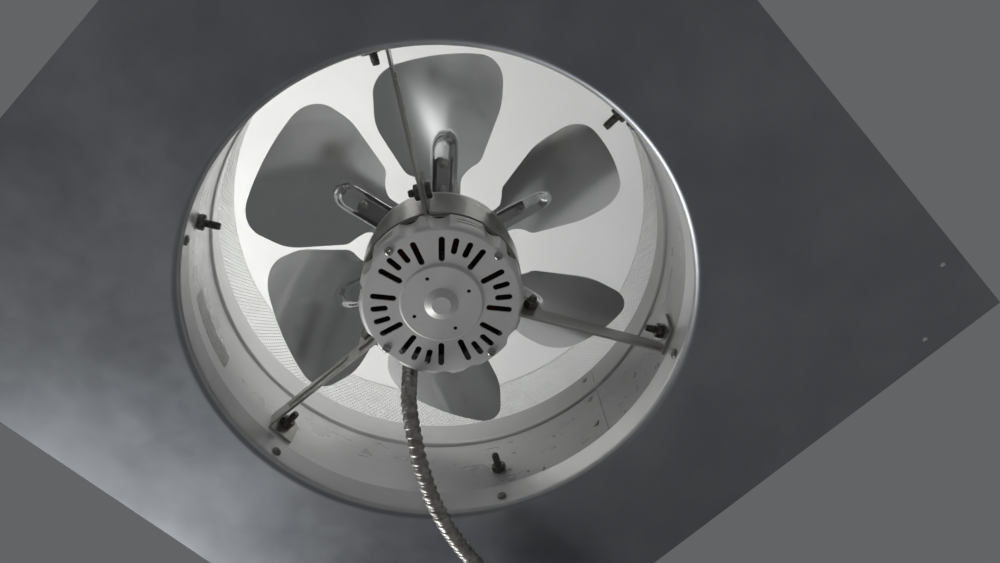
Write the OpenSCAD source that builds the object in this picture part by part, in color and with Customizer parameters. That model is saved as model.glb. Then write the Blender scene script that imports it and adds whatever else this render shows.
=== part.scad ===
// Powered roof vent: square roof flange with a round throat, sleeve, insect screen and dome,
// and a fan motor hung in the throat on three bracket legs, fed through a ribbed metal conduit.
// Origin: centre of the flange's underside, where it lies on the roof. +Z points up, out of the roof.

/* [Roof flange and throat] */
// Side of the square roof flange
flange_side = 610; // [520:5:760]
// Thickness of the flange and sleeve sheet
sheet_t = 0.8; // [0.6:0.1:1.2]
// Inside radius of the throat
throat_r = 190.5; // [185:0.5:200]
// Radius of the roll between flange and collar, on the seen side
flare_r = 6; // [4:0.5:9]
// Height of the collar's top edge above the flange's underside
collar_h = 28.5; // [26:0.5:32]
// Height of the six neck screws
neck_screw_z = 13.5; // [12:0.5:16]
// Number of neck screws
neck_screw_n = 6; // [4:1:10]

/* [Sleeve] */
// Height of the sleeve's lower edge
sleeve_z0 = 8; // [7:0.5:10]
// Height of the sleeve's top edge
sleeve_z1 = 132.4; // [120:0.1:145]
// Height of the rolled stiffening bead
bead_z = 100.6; // [90:0.2:110]
// How far the bead stands into the throat
bead_depth = 2; // [1:0.1:3]
// Radius of the rolled bead, on the throat side
bead_r = 4; // [3.5:0.1:5]
// Direction of the lap seam, seen from above
seam_az = -2; // [-20:1:20]
// Width of the lap, as an angle
seam_lap_deg = 6; // [4:0.5:10]
// Height of the lowest seam rivet
seam_rivet_z0 = 51; // [46:0.5:60]
// Height of the middle seam rivet
seam_rivet_z1 = 90; // [76:0.5:92]
// Height of the top seam rivet
seam_rivet_z2 = 124; // [118:0.5:126]

/* [Screen] */
// Thickness of the screen sheet
screen_t = 0.5; // [0.4:0.1:0.8]
// How far the screen reaches down outside the sleeve
screen_lap = 20; // [12:1:30]

/* [Dome] */
// Outer radius of the dome
dome_r = 300; // [285:1:320]
// Height of the dome's crown
dome_top_z = 232; // [225:1:245]
// Radius of curvature of the dome's crown
dome_crown_r = 559; // [540:1:600]
// Thickness of the dome's moulded wall
dome_t = 1.6; // [1.2:0.1:1.9]
// Radius of the roll at the dome's shoulder
dome_shoulder_r = 14; // [10:1:20]
// Height of the dome's lower edge
dome_rim_z = 112; // [108:1:116]
// Radius of the round bead along the dome's rim
dome_wire_r = 2; // [1.5:0.1:2.5]

/* [Dome brackets] */
// Width of a dome bracket
dome_bracket_w = 25; // [20:1:30]
// Thickness of a dome bracket
dome_bracket_t = 2; // [1.5:0.1:3]
// Height of the bracket's tab on the sleeve
dome_tab_z0 = 40; // [38:1:42]
// Top of the bracket's tab on the sleeve
dome_tab_z1 = 66; // [64:1:70]
// Top of the bracket's tab on the dome
dome_tab_z2 = 140; // [134:1:142]
// Distance between a bracket's two dome rivets
dome_rivet_gap = 12; // [10:1:14]

/* [Bolts] */
// Height of the bolts through the sleeve wall
wall_bolt_z = 52; // [48:0.5:56]
// Diameter of the wall bolts and clamp bolts
bolt_d = 6.35; // [5:0.05:6.5]
// Clearance round a bolt in its hole, on the radius
bolt_gap = 0.3; // [0.2:0.05:0.5]
// Width of a bolt's hexagon across its flats
hex_af = 11.1; // [10:0.1:12]
// Thickness of a hexagon nut
nut_h = 5.5; // [4:0.1:6]
// Thickness of a hexagon bolt's head
head_h = 4; // [3:0.1:5]
// How far a wall bolt stands into the throat from the wall
wall_stud = 17; // [14:0.5:20]

/* [Motor legs] */
// Thickness of the leg sheet
leg_t = 2; // [1.5:0.1:2.5]
// Inside radius of the clamp strap round the motor
strap_r = 61.2; // [61:0.05:61.6]
// Height of the strap's lower edge
strap_z0 = 34; // [33:0.5:36]
// Height of the strap's upper edge
strap_z1 = 67; // [64:0.5:68]
// Sideways place of the arm at the motor, from the bolt's radial line
arm_in_y = 5; // [4:0.2:6]
// Sideways place of the arm at the wall
arm_out_y = 12; // [11:0.2:13]
// Height of the arm's lower edge at the motor
arm_in_z0 = 29; // [28:0.5:31]
// Height of the arm's lower edge at the wall
arm_out_z0 = 39; // [37:0.5:41]
// Height of the arm's upper edge at its waist
arm_waist_z1 = 50; // [48:0.5:52]
// Height of the arm's upper edge at the wall
arm_out_z1 = 55; // [53:0.5:57]
// How far the pressed rib stands out of the arm
arm_rib_h = 1.4; // [1:0.1:1.8]
// Distance of the clamp bolts from the axis
clamp_r = 75; // [73:0.5:77]
// Height of the clamp bolts
clamp_z = 50; // [46:0.5:54]
// How far a clamp bolt stands out behind its nut
clamp_stud = 4.5; // [3:0.5:6]
// Outer end of the strap's lug, from the axis
lug_r = 86; // [84:0.5:90]

/* [Motor casing] */
// Height of the lower end bell's face
bell_z = 7.5; // [7:0.1:9]
// Largest radius of the fluted lower end bell
bell_r = 62.5; // [61.8:0.1:63]
// Number of flute pairs round the lower end bell
flute_pair_n = 6; // [4:1:7]
// Angle between the two flutes of a pair
flute_pair_deg = 21.2; // [18:0.1:23]
// Depth of a flute
flute_depth = 3.6; // [2:0.1:4]
// Height of the lower end bell's rim
bell_rim_z = 32; // [30:0.5:33]
// Thickness of the end bells
bell_t = 1.2; // [1:0.1:1.5]
// Radius of the pressed disc on the lower end bell
disc_r = 32; // [31:0.2:33]
// How far the disc stands proud
disc_h = 1.6; // [1:0.1:2]
// Radius of the bearing boss
boss_r = 13; // [12:0.2:14]
// How far the boss stands proud of the disc
boss_h = 3.4; // [2.5:0.1:3.8]
// Outer end of the cooling slots
slot_r1 = 53.6; // [52:0.1:53.8]
// Inner end of a long cooling slot
slot_long_r0 = 34; // [33.5:0.1:36]
// Inner end of a short cooling slot
slot_short_r0 = 40.5; // [39:0.1:42]
// Width of a cooling slot
slot_w = 4.6; // [4:0.1:5]
// Radius of the circle of through bolts
through_r = 57; // [56.6:0.1:57.2]
// Diameter of a through bolt
through_d = 4; // [3.5:0.1:4.2]
// Outside radius of the motor shell
shell_r = 60.9; // [60.5:0.05:61]
// Wall of the motor shell
shell_t = 0.8; // [0.6:0.1:1]
// Height of the motor shell's top edge
shell_z1 = 84; // [83.5:0.5:86]
// Height of the upper end bell's face
upper_z = 91; // [90:0.5:92]

/* [Motor works] */
// Diameter of the motor shaft
shaft_d = 7.94; // [6:0.02:10]
// Lower end of the motor shaft
shaft_z0 = 9; // [8.5:0.5:11]
// Upper end of the motor shaft
shaft_z1 = 128; // [126:0.5:134]
// Running clearance of the shaft in its bearings, on the radius
running_gap = 0.05; // [0.03:0.01:0.08]
// Outside radius of a shaft bearing
bearing_r = 8; // [7.5:0.1:9]
// Length of a shaft bearing
bearing_l = 12; // [10:0.5:14]
// Radius of the rotor
rotor_r = 29.5; // [28:0.1:30]
// Air gap between rotor and stator
air_gap = 0.5; // [0.3:0.1:0.8]
// Height of the stator stack's lower face
core_z0 = 38; // [37:0.5:40]
// Height of the stator stack's upper face
core_z1 = 64; // [60:0.5:66]
// Number of stator slots
core_slot_n = 18; // [12:1:24]
// How far the windings stand out of the stator stack
winding_h = 9; // [6:0.5:9]

/* [Fan] */
// Radius of the fan at its blade tips
fan_r = 164.6; // [155:0.1:170]
// Direction of the first blade at rest
blade_az = -12.9; // [-30:0.1:30]
// Thickness of a blade
blade_t = 1; // [0.8:0.1:1.4]
// Pitch of the blades
blade_pitch = 32.2; // [28:0.1:36]
// Upward tilt of the blades
blade_cone = 4.2; // [2:0.1:6]
// Height of the blades' ribs where they meet the axis
blade_z = 108.7; // [107:0.1:111]
// Reach of a blade on its trailing side
blade_trail = 56.3; // [55:0.1:58]
// Reach of a blade on its leading side
blade_lead = 47.5; // [46:0.1:50]
// Radius of the blade's trailing tip corner
trail_corner_r = 22; // [16:1:26]
// Radius of the blade's leading tip corner
lead_corner_r = 26; // [20:1:30]
// Distance of the blade's inner edge from the axis
blade_root_x = 62; // [60:0.5:66]
// Inner end of the blade's pressed channel
channel_x0 = 45; // [42:0.5:48]
// Place where the channel's round end starts
channel_x1 = 102; // [96:0.5:106]
// Half width of the channel at the blade's surface
channel_w = 12; // [11.5:0.1:13]
// Half width of the channel's floor
channel_floor_w = 7.5; // [7:0.1:8]
// Depth of the channel
channel_h = 5; // [4:0.1:6]
// Width of a hub arm
arm_w = 12; // [10:0.5:13]
// Thickness of the hub arms and plate
hub_t = 3; // [2.5:0.1:3.5]
// Outer end of a hub arm
hub_arm_x1 = 81; // [80:0.5:84]
// Radius of the hub plate
hub_plate_r = 36; // [34:0.5:40]
// Radius of the hub bushing
bushing_r = 13; // [12:0.5:15]
// Length of the hub bushing
bushing_l = 22; // [20:0.5:24]
// Distance of a blade's inner rivet from the axis
blade_rivet_x0 = 54; // [52:0.5:60]
// Distance of a blade's outer rivet from the axis
blade_rivet_x1 = 76.5; // [72:0.5:77]
// Diameter of a blade rivet
blade_rivet_d = 4.8; // [4:0.1:5.2]

/* [Conduit] */
// Outside diameter of the conduit
conduit_d = 12.7; // [12:0.1:13.2]
// Inside diameter of the conduit
conduit_bore = 9; // [8:0.1:9.5]
// Depth of the groove between two ribs
rib_depth = 1; // [0.6:0.1:1.2]
// Length of one rib along the conduit
rib_pitch = 6.45; // [6:0.05:8]
// Height of the connector's inlet in the motor shell
elbow_z = 76; // [75:0.1:77]

/* [Thermostat box] */
// Length of the thermostat box
box_l = 102; // [95:1:105]
// Width of the thermostat box
box_w = 54; // [50:1:60]
// Depth of the thermostat box
box_h = 48; // [44:1:54]
// Wall of the thermostat box
box_t = 1.6; // [1.2:0.1:2]
// Radius of the temperature dial
dial_r = 14; // [11:0.5:16]
// Height of the temperature dial
dial_h = 7; // [5:0.5:9]

/* [Hidden] */
$fn = 96;
big_fn = 720;

// Small gap between sheets that lie on each other
face_gap = 0.05;
// Overlap that makes a cut pass clean through a face
cut = 1;
// Number of blades, one node each
blade_n = 6;
// Number of cooling slot places in the bell's face, every fifth of which is left plain
slot_n = 30;
seam_rivet_z = [seam_rivet_z0, seam_rivet_z1, seam_rivet_z2];
blade_rivet_x = [blade_rivet_x0, blade_rivet_x1];

// Places of the legs and of the dome brackets round the throat
leg_az = [-30, 90, 210];
bracket_az = [30, 150, 270];

collar_r1 = throat_r + sheet_t;
sleeve_r0 = collar_r1 + face_gap;
sleeve_r1 = sleeve_r0 + sheet_t;
screen_r0 = sleeve_r1 + 2 * face_gap;
screen_r1 = screen_r0 + screen_t;

dome_centre_z = dome_top_z - dome_crown_r;
shoulder_x = dome_r - dome_shoulder_r;
shoulder_z = dome_centre_z + sqrt(pow(dome_crown_r - dome_shoulder_r, 2) - pow(shoulder_x, 2));
// Height of the dome's underside at a distance r from the axis
function dome_under_z(r) = dome_centre_z + sqrt(pow(dome_crown_r - dome_t, 2) - r * r);
screen_gap = 0.3;
screen_z1 = dome_under_z(screen_r1) - screen_gap;
screen_z0 = sleeve_z1 - screen_lap;

bolt_r = bolt_d / 2;
bolt_hole_r = bolt_r + bolt_gap;

module ring(r0, r1, z0, z1) {
  translate([0, 0, z0]) difference() {
    cylinder(r = r1, h = z1 - z0);
    translate([0, 0, -cut]) cylinder(r = r0, h = z1 - z0 + 2 * cut);
  }
}

// Cylinder along a radius, from x0 to x1, at the height z and the direction az
module radial(az, z, x0, x1, r, y = 0) {
  rotate([0, 0, az]) translate([x0, y, z]) rotate([0, 90, 0]) cylinder(r = r, h = x1 - x0, $fn = 48);
}

// Hexagon prism along a radius
module radial_hex(az, z, x0, x1, af) {
  rotate([0, 0, az]) translate([x0, 0, z]) rotate([0, 90, 0])
    cylinder(r = af / sqrt(3), h = x1 - x0, $fn = 6);
}

// Roof flange: flat square sheet with its throat rolled up into a collar
module roof_flange() color("slategray") {
  roll_x = throat_r + flare_r;
  difference() {
    union() {
      translate([-flange_side / 2, -flange_side / 2, 0]) difference() {
        cube([flange_side, flange_side, sheet_t]);
        translate([flange_side / 2, flange_side / 2, -cut]) cylinder(r = roll_x, h = 3 * cut, $fn = big_fn);
      }
      rotate_extrude($fn = big_fn) {
        intersection() {
          difference() {
            translate([roll_x, flare_r]) circle(r = flare_r);
            translate([roll_x, flare_r]) circle(r = flare_r - sheet_t);
          }
          translate([throat_r, 0]) square([flare_r, flare_r]);
        }
        translate([throat_r, flare_r]) square([sheet_t, collar_h - flare_r]);
      }
    }
    for (i = [0 : neck_screw_n - 1])
      radial(leg_az[0] + i * 360 / neck_screw_n, neck_screw_z, throat_r - cut, collar_r1 + cut, neck_screw_r);
    for (az = [0 : 90 : 270])
      rotate([0, 0, az]) for (y = [-nail_y, nail_y])
        translate([flange_side / 2 - nail_edge, y, -cut]) cylinder(r = nail_hole_r, h = 4 * cut, $fn = 32);
  }
}
// Places of the roofing screws, from the flange's edge and from its corners
nail_edge = 15;
nail_corner = 60;
nail_y = flange_side / 2 - nail_corner;
nail_hole_r = 2;

// Neck screws: pan-head sheet screws put in from inside the throat
neck_screw_r = 2.1;
screw_head_r = 4;
screw_head_h = 2;
screw_tip_l = 6;
module neck_screws() color("gray")
  for (i = [0 : neck_screw_n - 1]) {
    az = leg_az[0] + i * 360 / neck_screw_n;
    radial(az, neck_screw_z, throat_r - screw_head_h - face_gap, throat_r - face_gap, screw_head_r);
    radial(az, neck_screw_z, throat_r - screw_head_h, sleeve_r1 + screw_tip_l, neck_screw_r - face_gap);
  }

// The sleeve wall in section, so many layers thick, with its rolled bead
module sleeve_section(layers) {
  bead_x = sleeve_r0 + bead_r - bead_depth;
  wall = layers * sheet_t;
  difference() {
    union() {
      translate([sleeve_r0, sleeve_z0]) square([wall, sleeve_z1 - sleeve_z0]);
      intersection() {
        translate([bead_x, bead_z]) circle(r = bead_r);
        translate([sleeve_r0 - 2 * bead_r, bead_z - bead_r]) square([2 * bead_r + wall, 2 * bead_r]);
      }
    }
    translate([bead_x, bead_z]) circle(r = bead_r - wall);
  }
}

// Sleeve: rolled sheet tube, lapped on itself at the seam
module sleeve() color("silver") difference() {
  union() {
    rotate([0, 0, seam_az + 180]) rotate_extrude($fn = big_fn) sleeve_section(1);
    rotate([0, 0, seam_az]) rotate_extrude(angle = seam_lap_deg, $fn = big_fn) intersection() {
      sleeve_section(2);
      translate([throat_r - bead_depth, sleeve_z0]) square([8 * sheet_t, screen_z0 - cut - sleeve_z0]);
    }
  }
  for (az = concat(leg_az, bracket_az)) radial(az, wall_bolt_z, throat_r, sleeve_r1 + cut, bolt_hole_r);
  for (i = [0 : neck_screw_n - 1])
    radial(leg_az[0] + i * 360 / neck_screw_n, neck_screw_z, throat_r, sleeve_r1 + cut, neck_screw_r);
  for (z = seam_rivet_z)
    radial(seam_az + seam_lap_deg / 2, z, throat_r, sleeve_r1 + 2 * cut, seam_rivet_r + face_gap);
  rotate([0, 0, seam_az]) translate([sleeve_r0 - cut, -seam_line_w / 2, sleeve_z0 - cut])
    cube([cut + seam_line_t, seam_line_w, sleeve_z1 - sleeve_z0 + 2 * cut]);
}
seam_line_w = 0.5;
seam_line_t = 0.4;

// Seam rivets: flat heads inside the throat and set ends outside
seam_rivet_r = 1.6;
rivet_head_h = 1;
module seam_rivets() color("lightgray")
  for (z = seam_rivet_z) {
    az = seam_az + seam_lap_deg / 2;
    outer = z > screen_z0 ? screen_r1 + face_gap : sleeve_r1 + sheet_t + face_gap;
    radial(az, z, sleeve_r0 - rivet_head_h, sleeve_r0 - face_gap, 2 * seam_rivet_r);
    radial(az, z, sleeve_r0 - rivet_head_h, outer + rivet_head_h, seam_rivet_r);
    radial(az, z, outer, outer + rivet_head_h, 1.6 * seam_rivet_r);
  }

// Insect screen: band between the sleeve's top and the dome
module insect_screen() color("whitesmoke") difference() {
  ring(screen_r0, screen_r1, screen_z0, screen_z1, $fn = big_fn);
  radial(seam_az + seam_lap_deg / 2, seam_rivet_z[2], screen_r0 - cut, screen_r1 + cut,
    seam_rivet_r + face_gap);
}

// Filled section of the dome, drawn in by o
module dome_section(o, z0) {
  reach = 2 * dome_crown_r;
  seam_x = shoulder_x + face_gap;
  intersection() {
    translate([0, dome_centre_z]) circle(r = dome_crown_r - o, $fn = big_fn);
    polygon([[0, z0], [0, reach], reach / dome_crown_r * [seam_x, shoulder_z - dome_centre_z]
      + [0, dome_centre_z], [seam_x, shoulder_z], [seam_x, z0]]);
  }
  translate([shoulder_x, shoulder_z]) circle(r = dome_shoulder_r - o);
  translate([0, z0]) square([dome_r - o, shoulder_z - z0]);
}

// Dome: moulded cover with a round bead at its rim
module dome() color("whitesmoke") difference() {
  rotate_extrude($fn = big_fn) {
    intersection() {
      difference() {
        dome_section(0, dome_rim_z);
        dome_section(dome_t, dome_rim_z - cut);
      }
      translate([0, dome_rim_z]) square([dome_r + cut, dome_top_z]);
    }
    translate([dome_r - dome_t / 2, dome_rim_z]) circle(r = dome_wire_r, $fn = 32);
  }
  for (az = bracket_az) for (y = [-dome_rivet_gap / 2, dome_rivet_gap / 2])
    radial(az, dome_rivet_z, dome_r - dome_t - 2 * cut, dome_r + cut, dome_rivet_r + face_gap, y);
}

// Dome brackets: bent strips from the sleeve's wall out to the dome's skirt
bracket_in_x = sleeve_r1 + face_gap;
bracket_out_x = sqrt(pow(dome_r - dome_t, 2) - pow(dome_bracket_w / 2, 2)) - dome_bracket_t - 2 * face_gap;
// The bracket meets the skirt this far above the rim's bead
bracket_rim_gap = 3;
bracket_rise_z = dome_rim_z + dome_wire_r + bracket_rim_gap;
dome_rivet_z = (bracket_rise_z + dome_tab_z2) / 2;
dome_rivet_r = 2;
module dome_bracket(i) color("gray") rotate([0, 0, bracket_az[i]]) difference() {
  translate([0, dome_bracket_w / 2, 0]) rotate([90, 0, 0]) linear_extrude(dome_bracket_w)
    polygon([
      [bracket_in_x, dome_tab_z0], [bracket_in_x + dome_bracket_t, dome_tab_z0],
      [bracket_in_x + dome_bracket_t, dome_tab_z1 - dome_bracket_t],
      [bracket_out_x + dome_bracket_t, bracket_rise_z - dome_bracket_t],
      [bracket_out_x + dome_bracket_t, dome_tab_z2], [bracket_out_x, dome_tab_z2],
      [bracket_out_x, bracket_rise_z], [bracket_in_x, dome_tab_z1]
    ]);
  radial(0, wall_bolt_z, bracket_in_x - cut, bracket_in_x + dome_bracket_t + cut, bolt_hole_r);
  for (y = [-dome_rivet_gap / 2, dome_rivet_gap / 2])
    radial(0, dome_rivet_z, bracket_out_x - cut, bracket_out_x + dome_bracket_t + cut,
      dome_rivet_r + face_gap, y);
}

// Dome rivets: two through each bracket and the dome's skirt
dome_rivet_tail = 3;
dome_rivet_head_h = 1.2;
module dome_rivets() color("silver")
  for (az = bracket_az) for (y = [-dome_rivet_gap / 2, dome_rivet_gap / 2]) {
    tail_x = bracket_out_x - dome_rivet_tail;
    head_x = dome_r + dome_rivet_head_h;
    radial(az, dome_rivet_z, tail_x, head_x, dome_rivet_r, y);
    radial(az, dome_rivet_z, tail_x, bracket_out_x - face_gap, 1.3 * dome_rivet_r, y);
    radial(az, dome_rivet_z, dome_r + face_gap, head_x, 1.7 * dome_rivet_r, y);
  }

// Bolt through the sleeve wall, with its head outside against the face at x
module wall_bolt(az, x) {
  radial(az, wall_bolt_z, sleeve_r0 - wall_stud, x, bolt_r);
  radial_hex(az, wall_bolt_z, x, x + head_h, hex_af);
}

module hex_nut(az, x) difference() {
  radial_hex(az, wall_bolt_z, x - nut_h, x, hex_af);
  radial(az, wall_bolt_z, x - nut_h - cut, x + cut, bolt_r + face_gap);
}

// The sleeve's wall is round and a nut is flat, so a nut's face keeps this far inside the wall
nut_seat = (sleeve_r0 - sqrt(pow(sleeve_r0, 2) - pow(hex_af / sqrt(3), 2))) + face_gap;

module dome_bolts() color("silver")
  for (az = bracket_az) wall_bolt(az, bracket_in_x + dome_bracket_t + face_gap);
module dome_nuts() color("silver") for (az = bracket_az) hex_nut(az, sleeve_r0 - nut_seat);

foot_x1 = sqrt(pow(sleeve_r0, 2) - pow(arm_out_y + leg_t, 2)) - face_gap;
foot_x0 = foot_x1 - leg_t;
module foot_bolts() color("dimgray") for (az = leg_az) wall_bolt(az, sleeve_r1 + face_gap);
module foot_nuts() color("dimgray") for (az = leg_az) hex_nut(az, foot_x0 - face_gap);

// Motor leg: one pressed strip with a foot on the wall, an arm, a strap round a third of the motor,
// and a lug that the next leg's clamp bolt holds
arm_x0 = strap_r + leg_t / 2;
arm_dir = atan2(arm_out_y - arm_in_y, foot_x1 - arm_x0);
arm_l = norm([foot_x1 - leg_t / 2 - arm_x0, arm_out_y - arm_in_y]);
// Places along the arm's upper edge where it rises to the strap
rise_x0 = 6;
rise_x1 = 30;
// Rise of the arm's lower edge up to that place
arm_dip = 2;
// Height of the arm's upper edge at the motor, just under the strap's
arm_in_z1 = strap_z1 - 0.5;
foot_w0 = -10;
foot_z0 = 35;
foot_z1 = 67;
// The foot's free end leans out to a point this high, and its top corners are cut
foot_lean = 3;
foot_lean_z = 59;
foot_corner = 4;
lug_z0 = 37;
lug_z1 = 64;
// Sideways place of the lug beside the arm of the next leg
lug_y = arm_in_y + leg_t + face_gap;

// Frame of a leg's arm: x runs outward along the arm, and y stands to its left
module arm_frame() translate([arm_x0, arm_in_y, 0]) rotate([0, 0, arm_dir]) children();

module arm_outline() polygon(concat(
  [[0, arm_in_z0], [rise_x1, arm_in_z0 + arm_dip], [arm_l, arm_out_z0], [arm_l, arm_out_z1]],
  [for (a = [0 : 15 : 90]) [rise_x1 - (rise_x1 - rise_x0) * sin(a),
    arm_waist_z1 + (arm_in_z1 - arm_waist_z1) * (1 - cos(a))]],
  [[0, arm_in_z1]]
));

module clamp_hole(r) arm_frame() translate([clamp_r - arm_x0, 0, clamp_z]) rotate([90, 0, 0])
  cylinder(r = r, h = 2 * strap_z0, center = true, $fn = 48);

module motor_leg(i) color("gray") rotate([0, 0, leg_az[i]]) {
  difference() {
    union() {
      arm_frame() rotate([90, 0, 0]) translate([0, 0, -leg_t / 2]) linear_extrude(leg_t) arm_outline();
      arm_frame() translate([0, leg_t / 2 - arm_rib_r + arm_rib_h, 0]) intersection() {
        rotate([0, 90 - arm_rib_tilt, 0]) translate([-arm_rib_z, 0, arm_rib_x0])
          cylinder(r = arm_rib_r, h = arm_l - arm_rib_x0 - arm_rib_end, $fn = 48);
        translate([0, arm_rib_r - arm_rib_h - cut / 2, 0]) cube([arm_l, cut + arm_rib_h, strap_z1]);
      }
      translate([foot_x0, 0, 0]) rotate([90, 0, 90]) linear_extrude(leg_t)
        polygon([[arm_out_y + leg_t / 2, foot_z0], [foot_w0, foot_z0], [foot_w0 - foot_lean, foot_lean_z],
          [foot_w0 + foot_lean, foot_z1], [arm_out_y - foot_corner, foot_z1 - foot_corner],
          [arm_out_y + leg_t / 2, arm_out_z1]]);
    }
    clamp_hole(bolt_hole_r);
    radial(0, wall_bolt_z, foot_x0 - cut, foot_x1 + cut, bolt_hole_r);
  }
  strap_end = -120 + asin(lug_y / arm_x0);
  strap_start = asin(arm_in_y / arm_x0);
  difference() {
    rotate([0, 0, strap_end]) rotate_extrude(angle = strap_start - strap_end, $fn = 192)
      translate([strap_r, strap_z0]) square([leg_t, strap_z1 - strap_z0]);
    rotate([0, 0, strap_slot_az]) translate([strap_r - cut, -strap_slot_w / 2, strap_slot_z])
      cube([leg_t + 2 * cut, strap_slot_w, strap_slot_h]);
  }
  rotate([0, 0, -120]) difference() {
    translate([0, leg_t + face_gap, 0]) arm_frame() translate([0, -leg_t / 2, lug_z0])
      cube([lug_r - arm_x0, leg_t, lug_z1 - lug_z0]);
    clamp_hole(bolt_hole_r);
  }
}
arm_rib_r = 3;
arm_rib_z = 40;
arm_rib_x0 = 40;
arm_rib_end = 20;
arm_rib_tilt = 2.5;
strap_slot_az = -60;
strap_slot_z = 48;
strap_slot_w = 6;
strap_slot_h = 3;

// Clamp bolts: each holds a strap's lug against the arm of the next leg
module clamp_bolts() color("dimgray")
  for (az = leg_az) rotate([0, 0, az]) arm_frame() translate([clamp_r - arm_x0, 0, clamp_z]) {
    head_y = 1.5 * leg_t + 3 * face_gap;
    tip_y = leg_t / 2 + nut_h + clamp_stud;
    rotate([90, 0, 0]) translate([0, 0, -head_y]) cylinder(r = bolt_r, h = head_y + tip_y, $fn = 48);
    rotate([90, 0, 0]) translate([0, 0, -head_y - head_h])
      cylinder(r = hex_af / sqrt(3), h = head_h, $fn = 6);
  }
module clamp_nuts() color("dimgray")
  for (az = leg_az) rotate([0, 0, az]) arm_frame() translate([clamp_r - arm_x0, 0, clamp_z])
    rotate([90, 0, 0]) translate([0, 0, leg_t / 2 + face_gap]) difference() {
      cylinder(r = hex_af / sqrt(3), h = nut_h, $fn = 6);
      translate([0, 0, -cut]) cylinder(r = bolt_r + face_gap, h = nut_h + 2 * cut, $fn = 48);
    }

// Directions of the slots, the through bolts and the disc's rivets, on the bell's face
slot_az0 = -134.3;
through_az = 2.95;
plate_rivet_az = 18.2;
plate_rivet_r = 23;
plate_rivet_hole_r = 1.5;

module bell_slot(i) {
  kind = i % 5;
  r0 = kind == 0 || kind == 3 ? slot_long_r0 : slot_short_r0;
  if (kind != 4) rotate([0, 0, slot_az0 + i * 360 / slot_n]) {
    translate([r0 + slot_w / 2, -slot_w / 2, 0]) cube([slot_r1 - r0 - slot_w, slot_w, 4 * cut]);
    translate([r0 + slot_w / 2, 0, 0]) cylinder(r = slot_w / 2, h = 4 * cut, $fn = 32);
    translate([slot_r1 - slot_w / 2, 0, 0]) cylinder(r = slot_w / 2, h = 4 * cut, $fn = 32);
  }
}

// Round section of the lower end bell, drawn in by o
bell_round = 4;
disc_face_z = bell_z - disc_h;
boss_face_z = disc_face_z - boss_h;
module bell_section(o) {
  translate([0, bell_z + o]) square([bell_r - bell_round, bell_rim_z - bell_z]);
  translate([bell_r - bell_round, bell_z + bell_round]) circle(r = bell_round - o);
  translate([0, bell_z + bell_round]) square([bell_r - o, bell_rim_z - bell_z]);
  polygon([[0, disc_face_z + o], [disc_r - disc_h, disc_face_z + o], [disc_r, bell_z + o],
    [0, bell_z + o + cut]]);
  polygon([[0, boss_face_z + o], [boss_flat_r, boss_face_z + o], [boss_r, disc_face_z + o],
    [0, disc_face_z + o + cut]]);
}

boss_flat_r = 0.55 * boss_r;
flute_cut_r = 12;
flute_az = 33.3;
// The lower bearing's seat: a sleeve that stands on the inside of the boss
bearing_seat_t = 2.5;
bearing_seat_r = bearing_r + bearing_seat_t;
bearing_seat_z = boss_face_z + boss_h * (bearing_seat_r - boss_flat_r) / (boss_r - boss_flat_r) + bell_t / 2;
// The flutes' round tools, grown by o: the same pairs shape the sheet's outside and its inside
module bell_flutes(o) for (i = [0 : flute_pair_n - 1]) for (side = [-1, 1])
  rotate([0, 0, flute_az + i * 360 / flute_pair_n + side * flute_pair_deg / 2])
    translate([bell_r - flute_depth + flute_cut_r, 0, -cut])
      cylinder(r = flute_cut_r + o, h = 2 * bell_rim_z);
module lower_end_bell() color("gainsboro") difference() {
  union() {
    difference() {
      rotate_extrude($fn = 192) intersection() {
        bell_section(0);
        square([bell_r + cut, bell_rim_z]);
      }
      difference() {
        rotate_extrude($fn = 192) bell_section(bell_t);
        bell_flutes(bell_t);
        ring(shell_r - 2 * shell_t, bell_r, bell_rim_z - bell_t, 2 * bell_rim_z);
      }
      bell_flutes(0);
    }
    ring(bearing_r + face_gap, bearing_seat_r, bearing_seat_z, lower_bearing_z + bearing_l);
  }
  for (i = [0 : slot_n - 1]) translate([0, 0, bell_z - cut]) bell_slot(i);
  for (i = [0 : 3]) {
    rotate([0, 0, through_az + 90 * i]) translate([through_r, 0, bell_z - cut])
      cylinder(r = through_d / 2 + face_gap, h = 4 * cut, $fn = 32);
    rotate([0, 0, plate_rivet_az + 90 * i]) translate([plate_rivet_r, 0, disc_face_z - cut])
      cylinder(r = plate_rivet_hole_r, h = 4 * cut, $fn = 32);
  }
  for (az = louvre_az) for (k = [0 : 1]) rotate([0, 0, az]) rotate_extrude(angle = louvre_deg)
    translate([bell_r - bell_t - flute_depth - cut, louvre_z + k * louvre_pitch])
      square([bell_t + flute_depth + 2 * cut, louvre_h]);
}
louvre_az = [-124, 166, 56, -34];
louvre_deg = 24;
louvre_z = 18;
louvre_pitch = 5;
louvre_h = 2;

// Motor shell: rolled steel band between the two end bells
module motor_shell() color("silver") difference() {
  ring(shell_r - shell_t, shell_r, bell_rim_z + face_gap, shell_z1, $fn = 192);
  radial(elbow_az, elbow_z, shell_r - shell_t - 2 * cut, shell_r + cut, nipple_r + face_gap);
}

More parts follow.
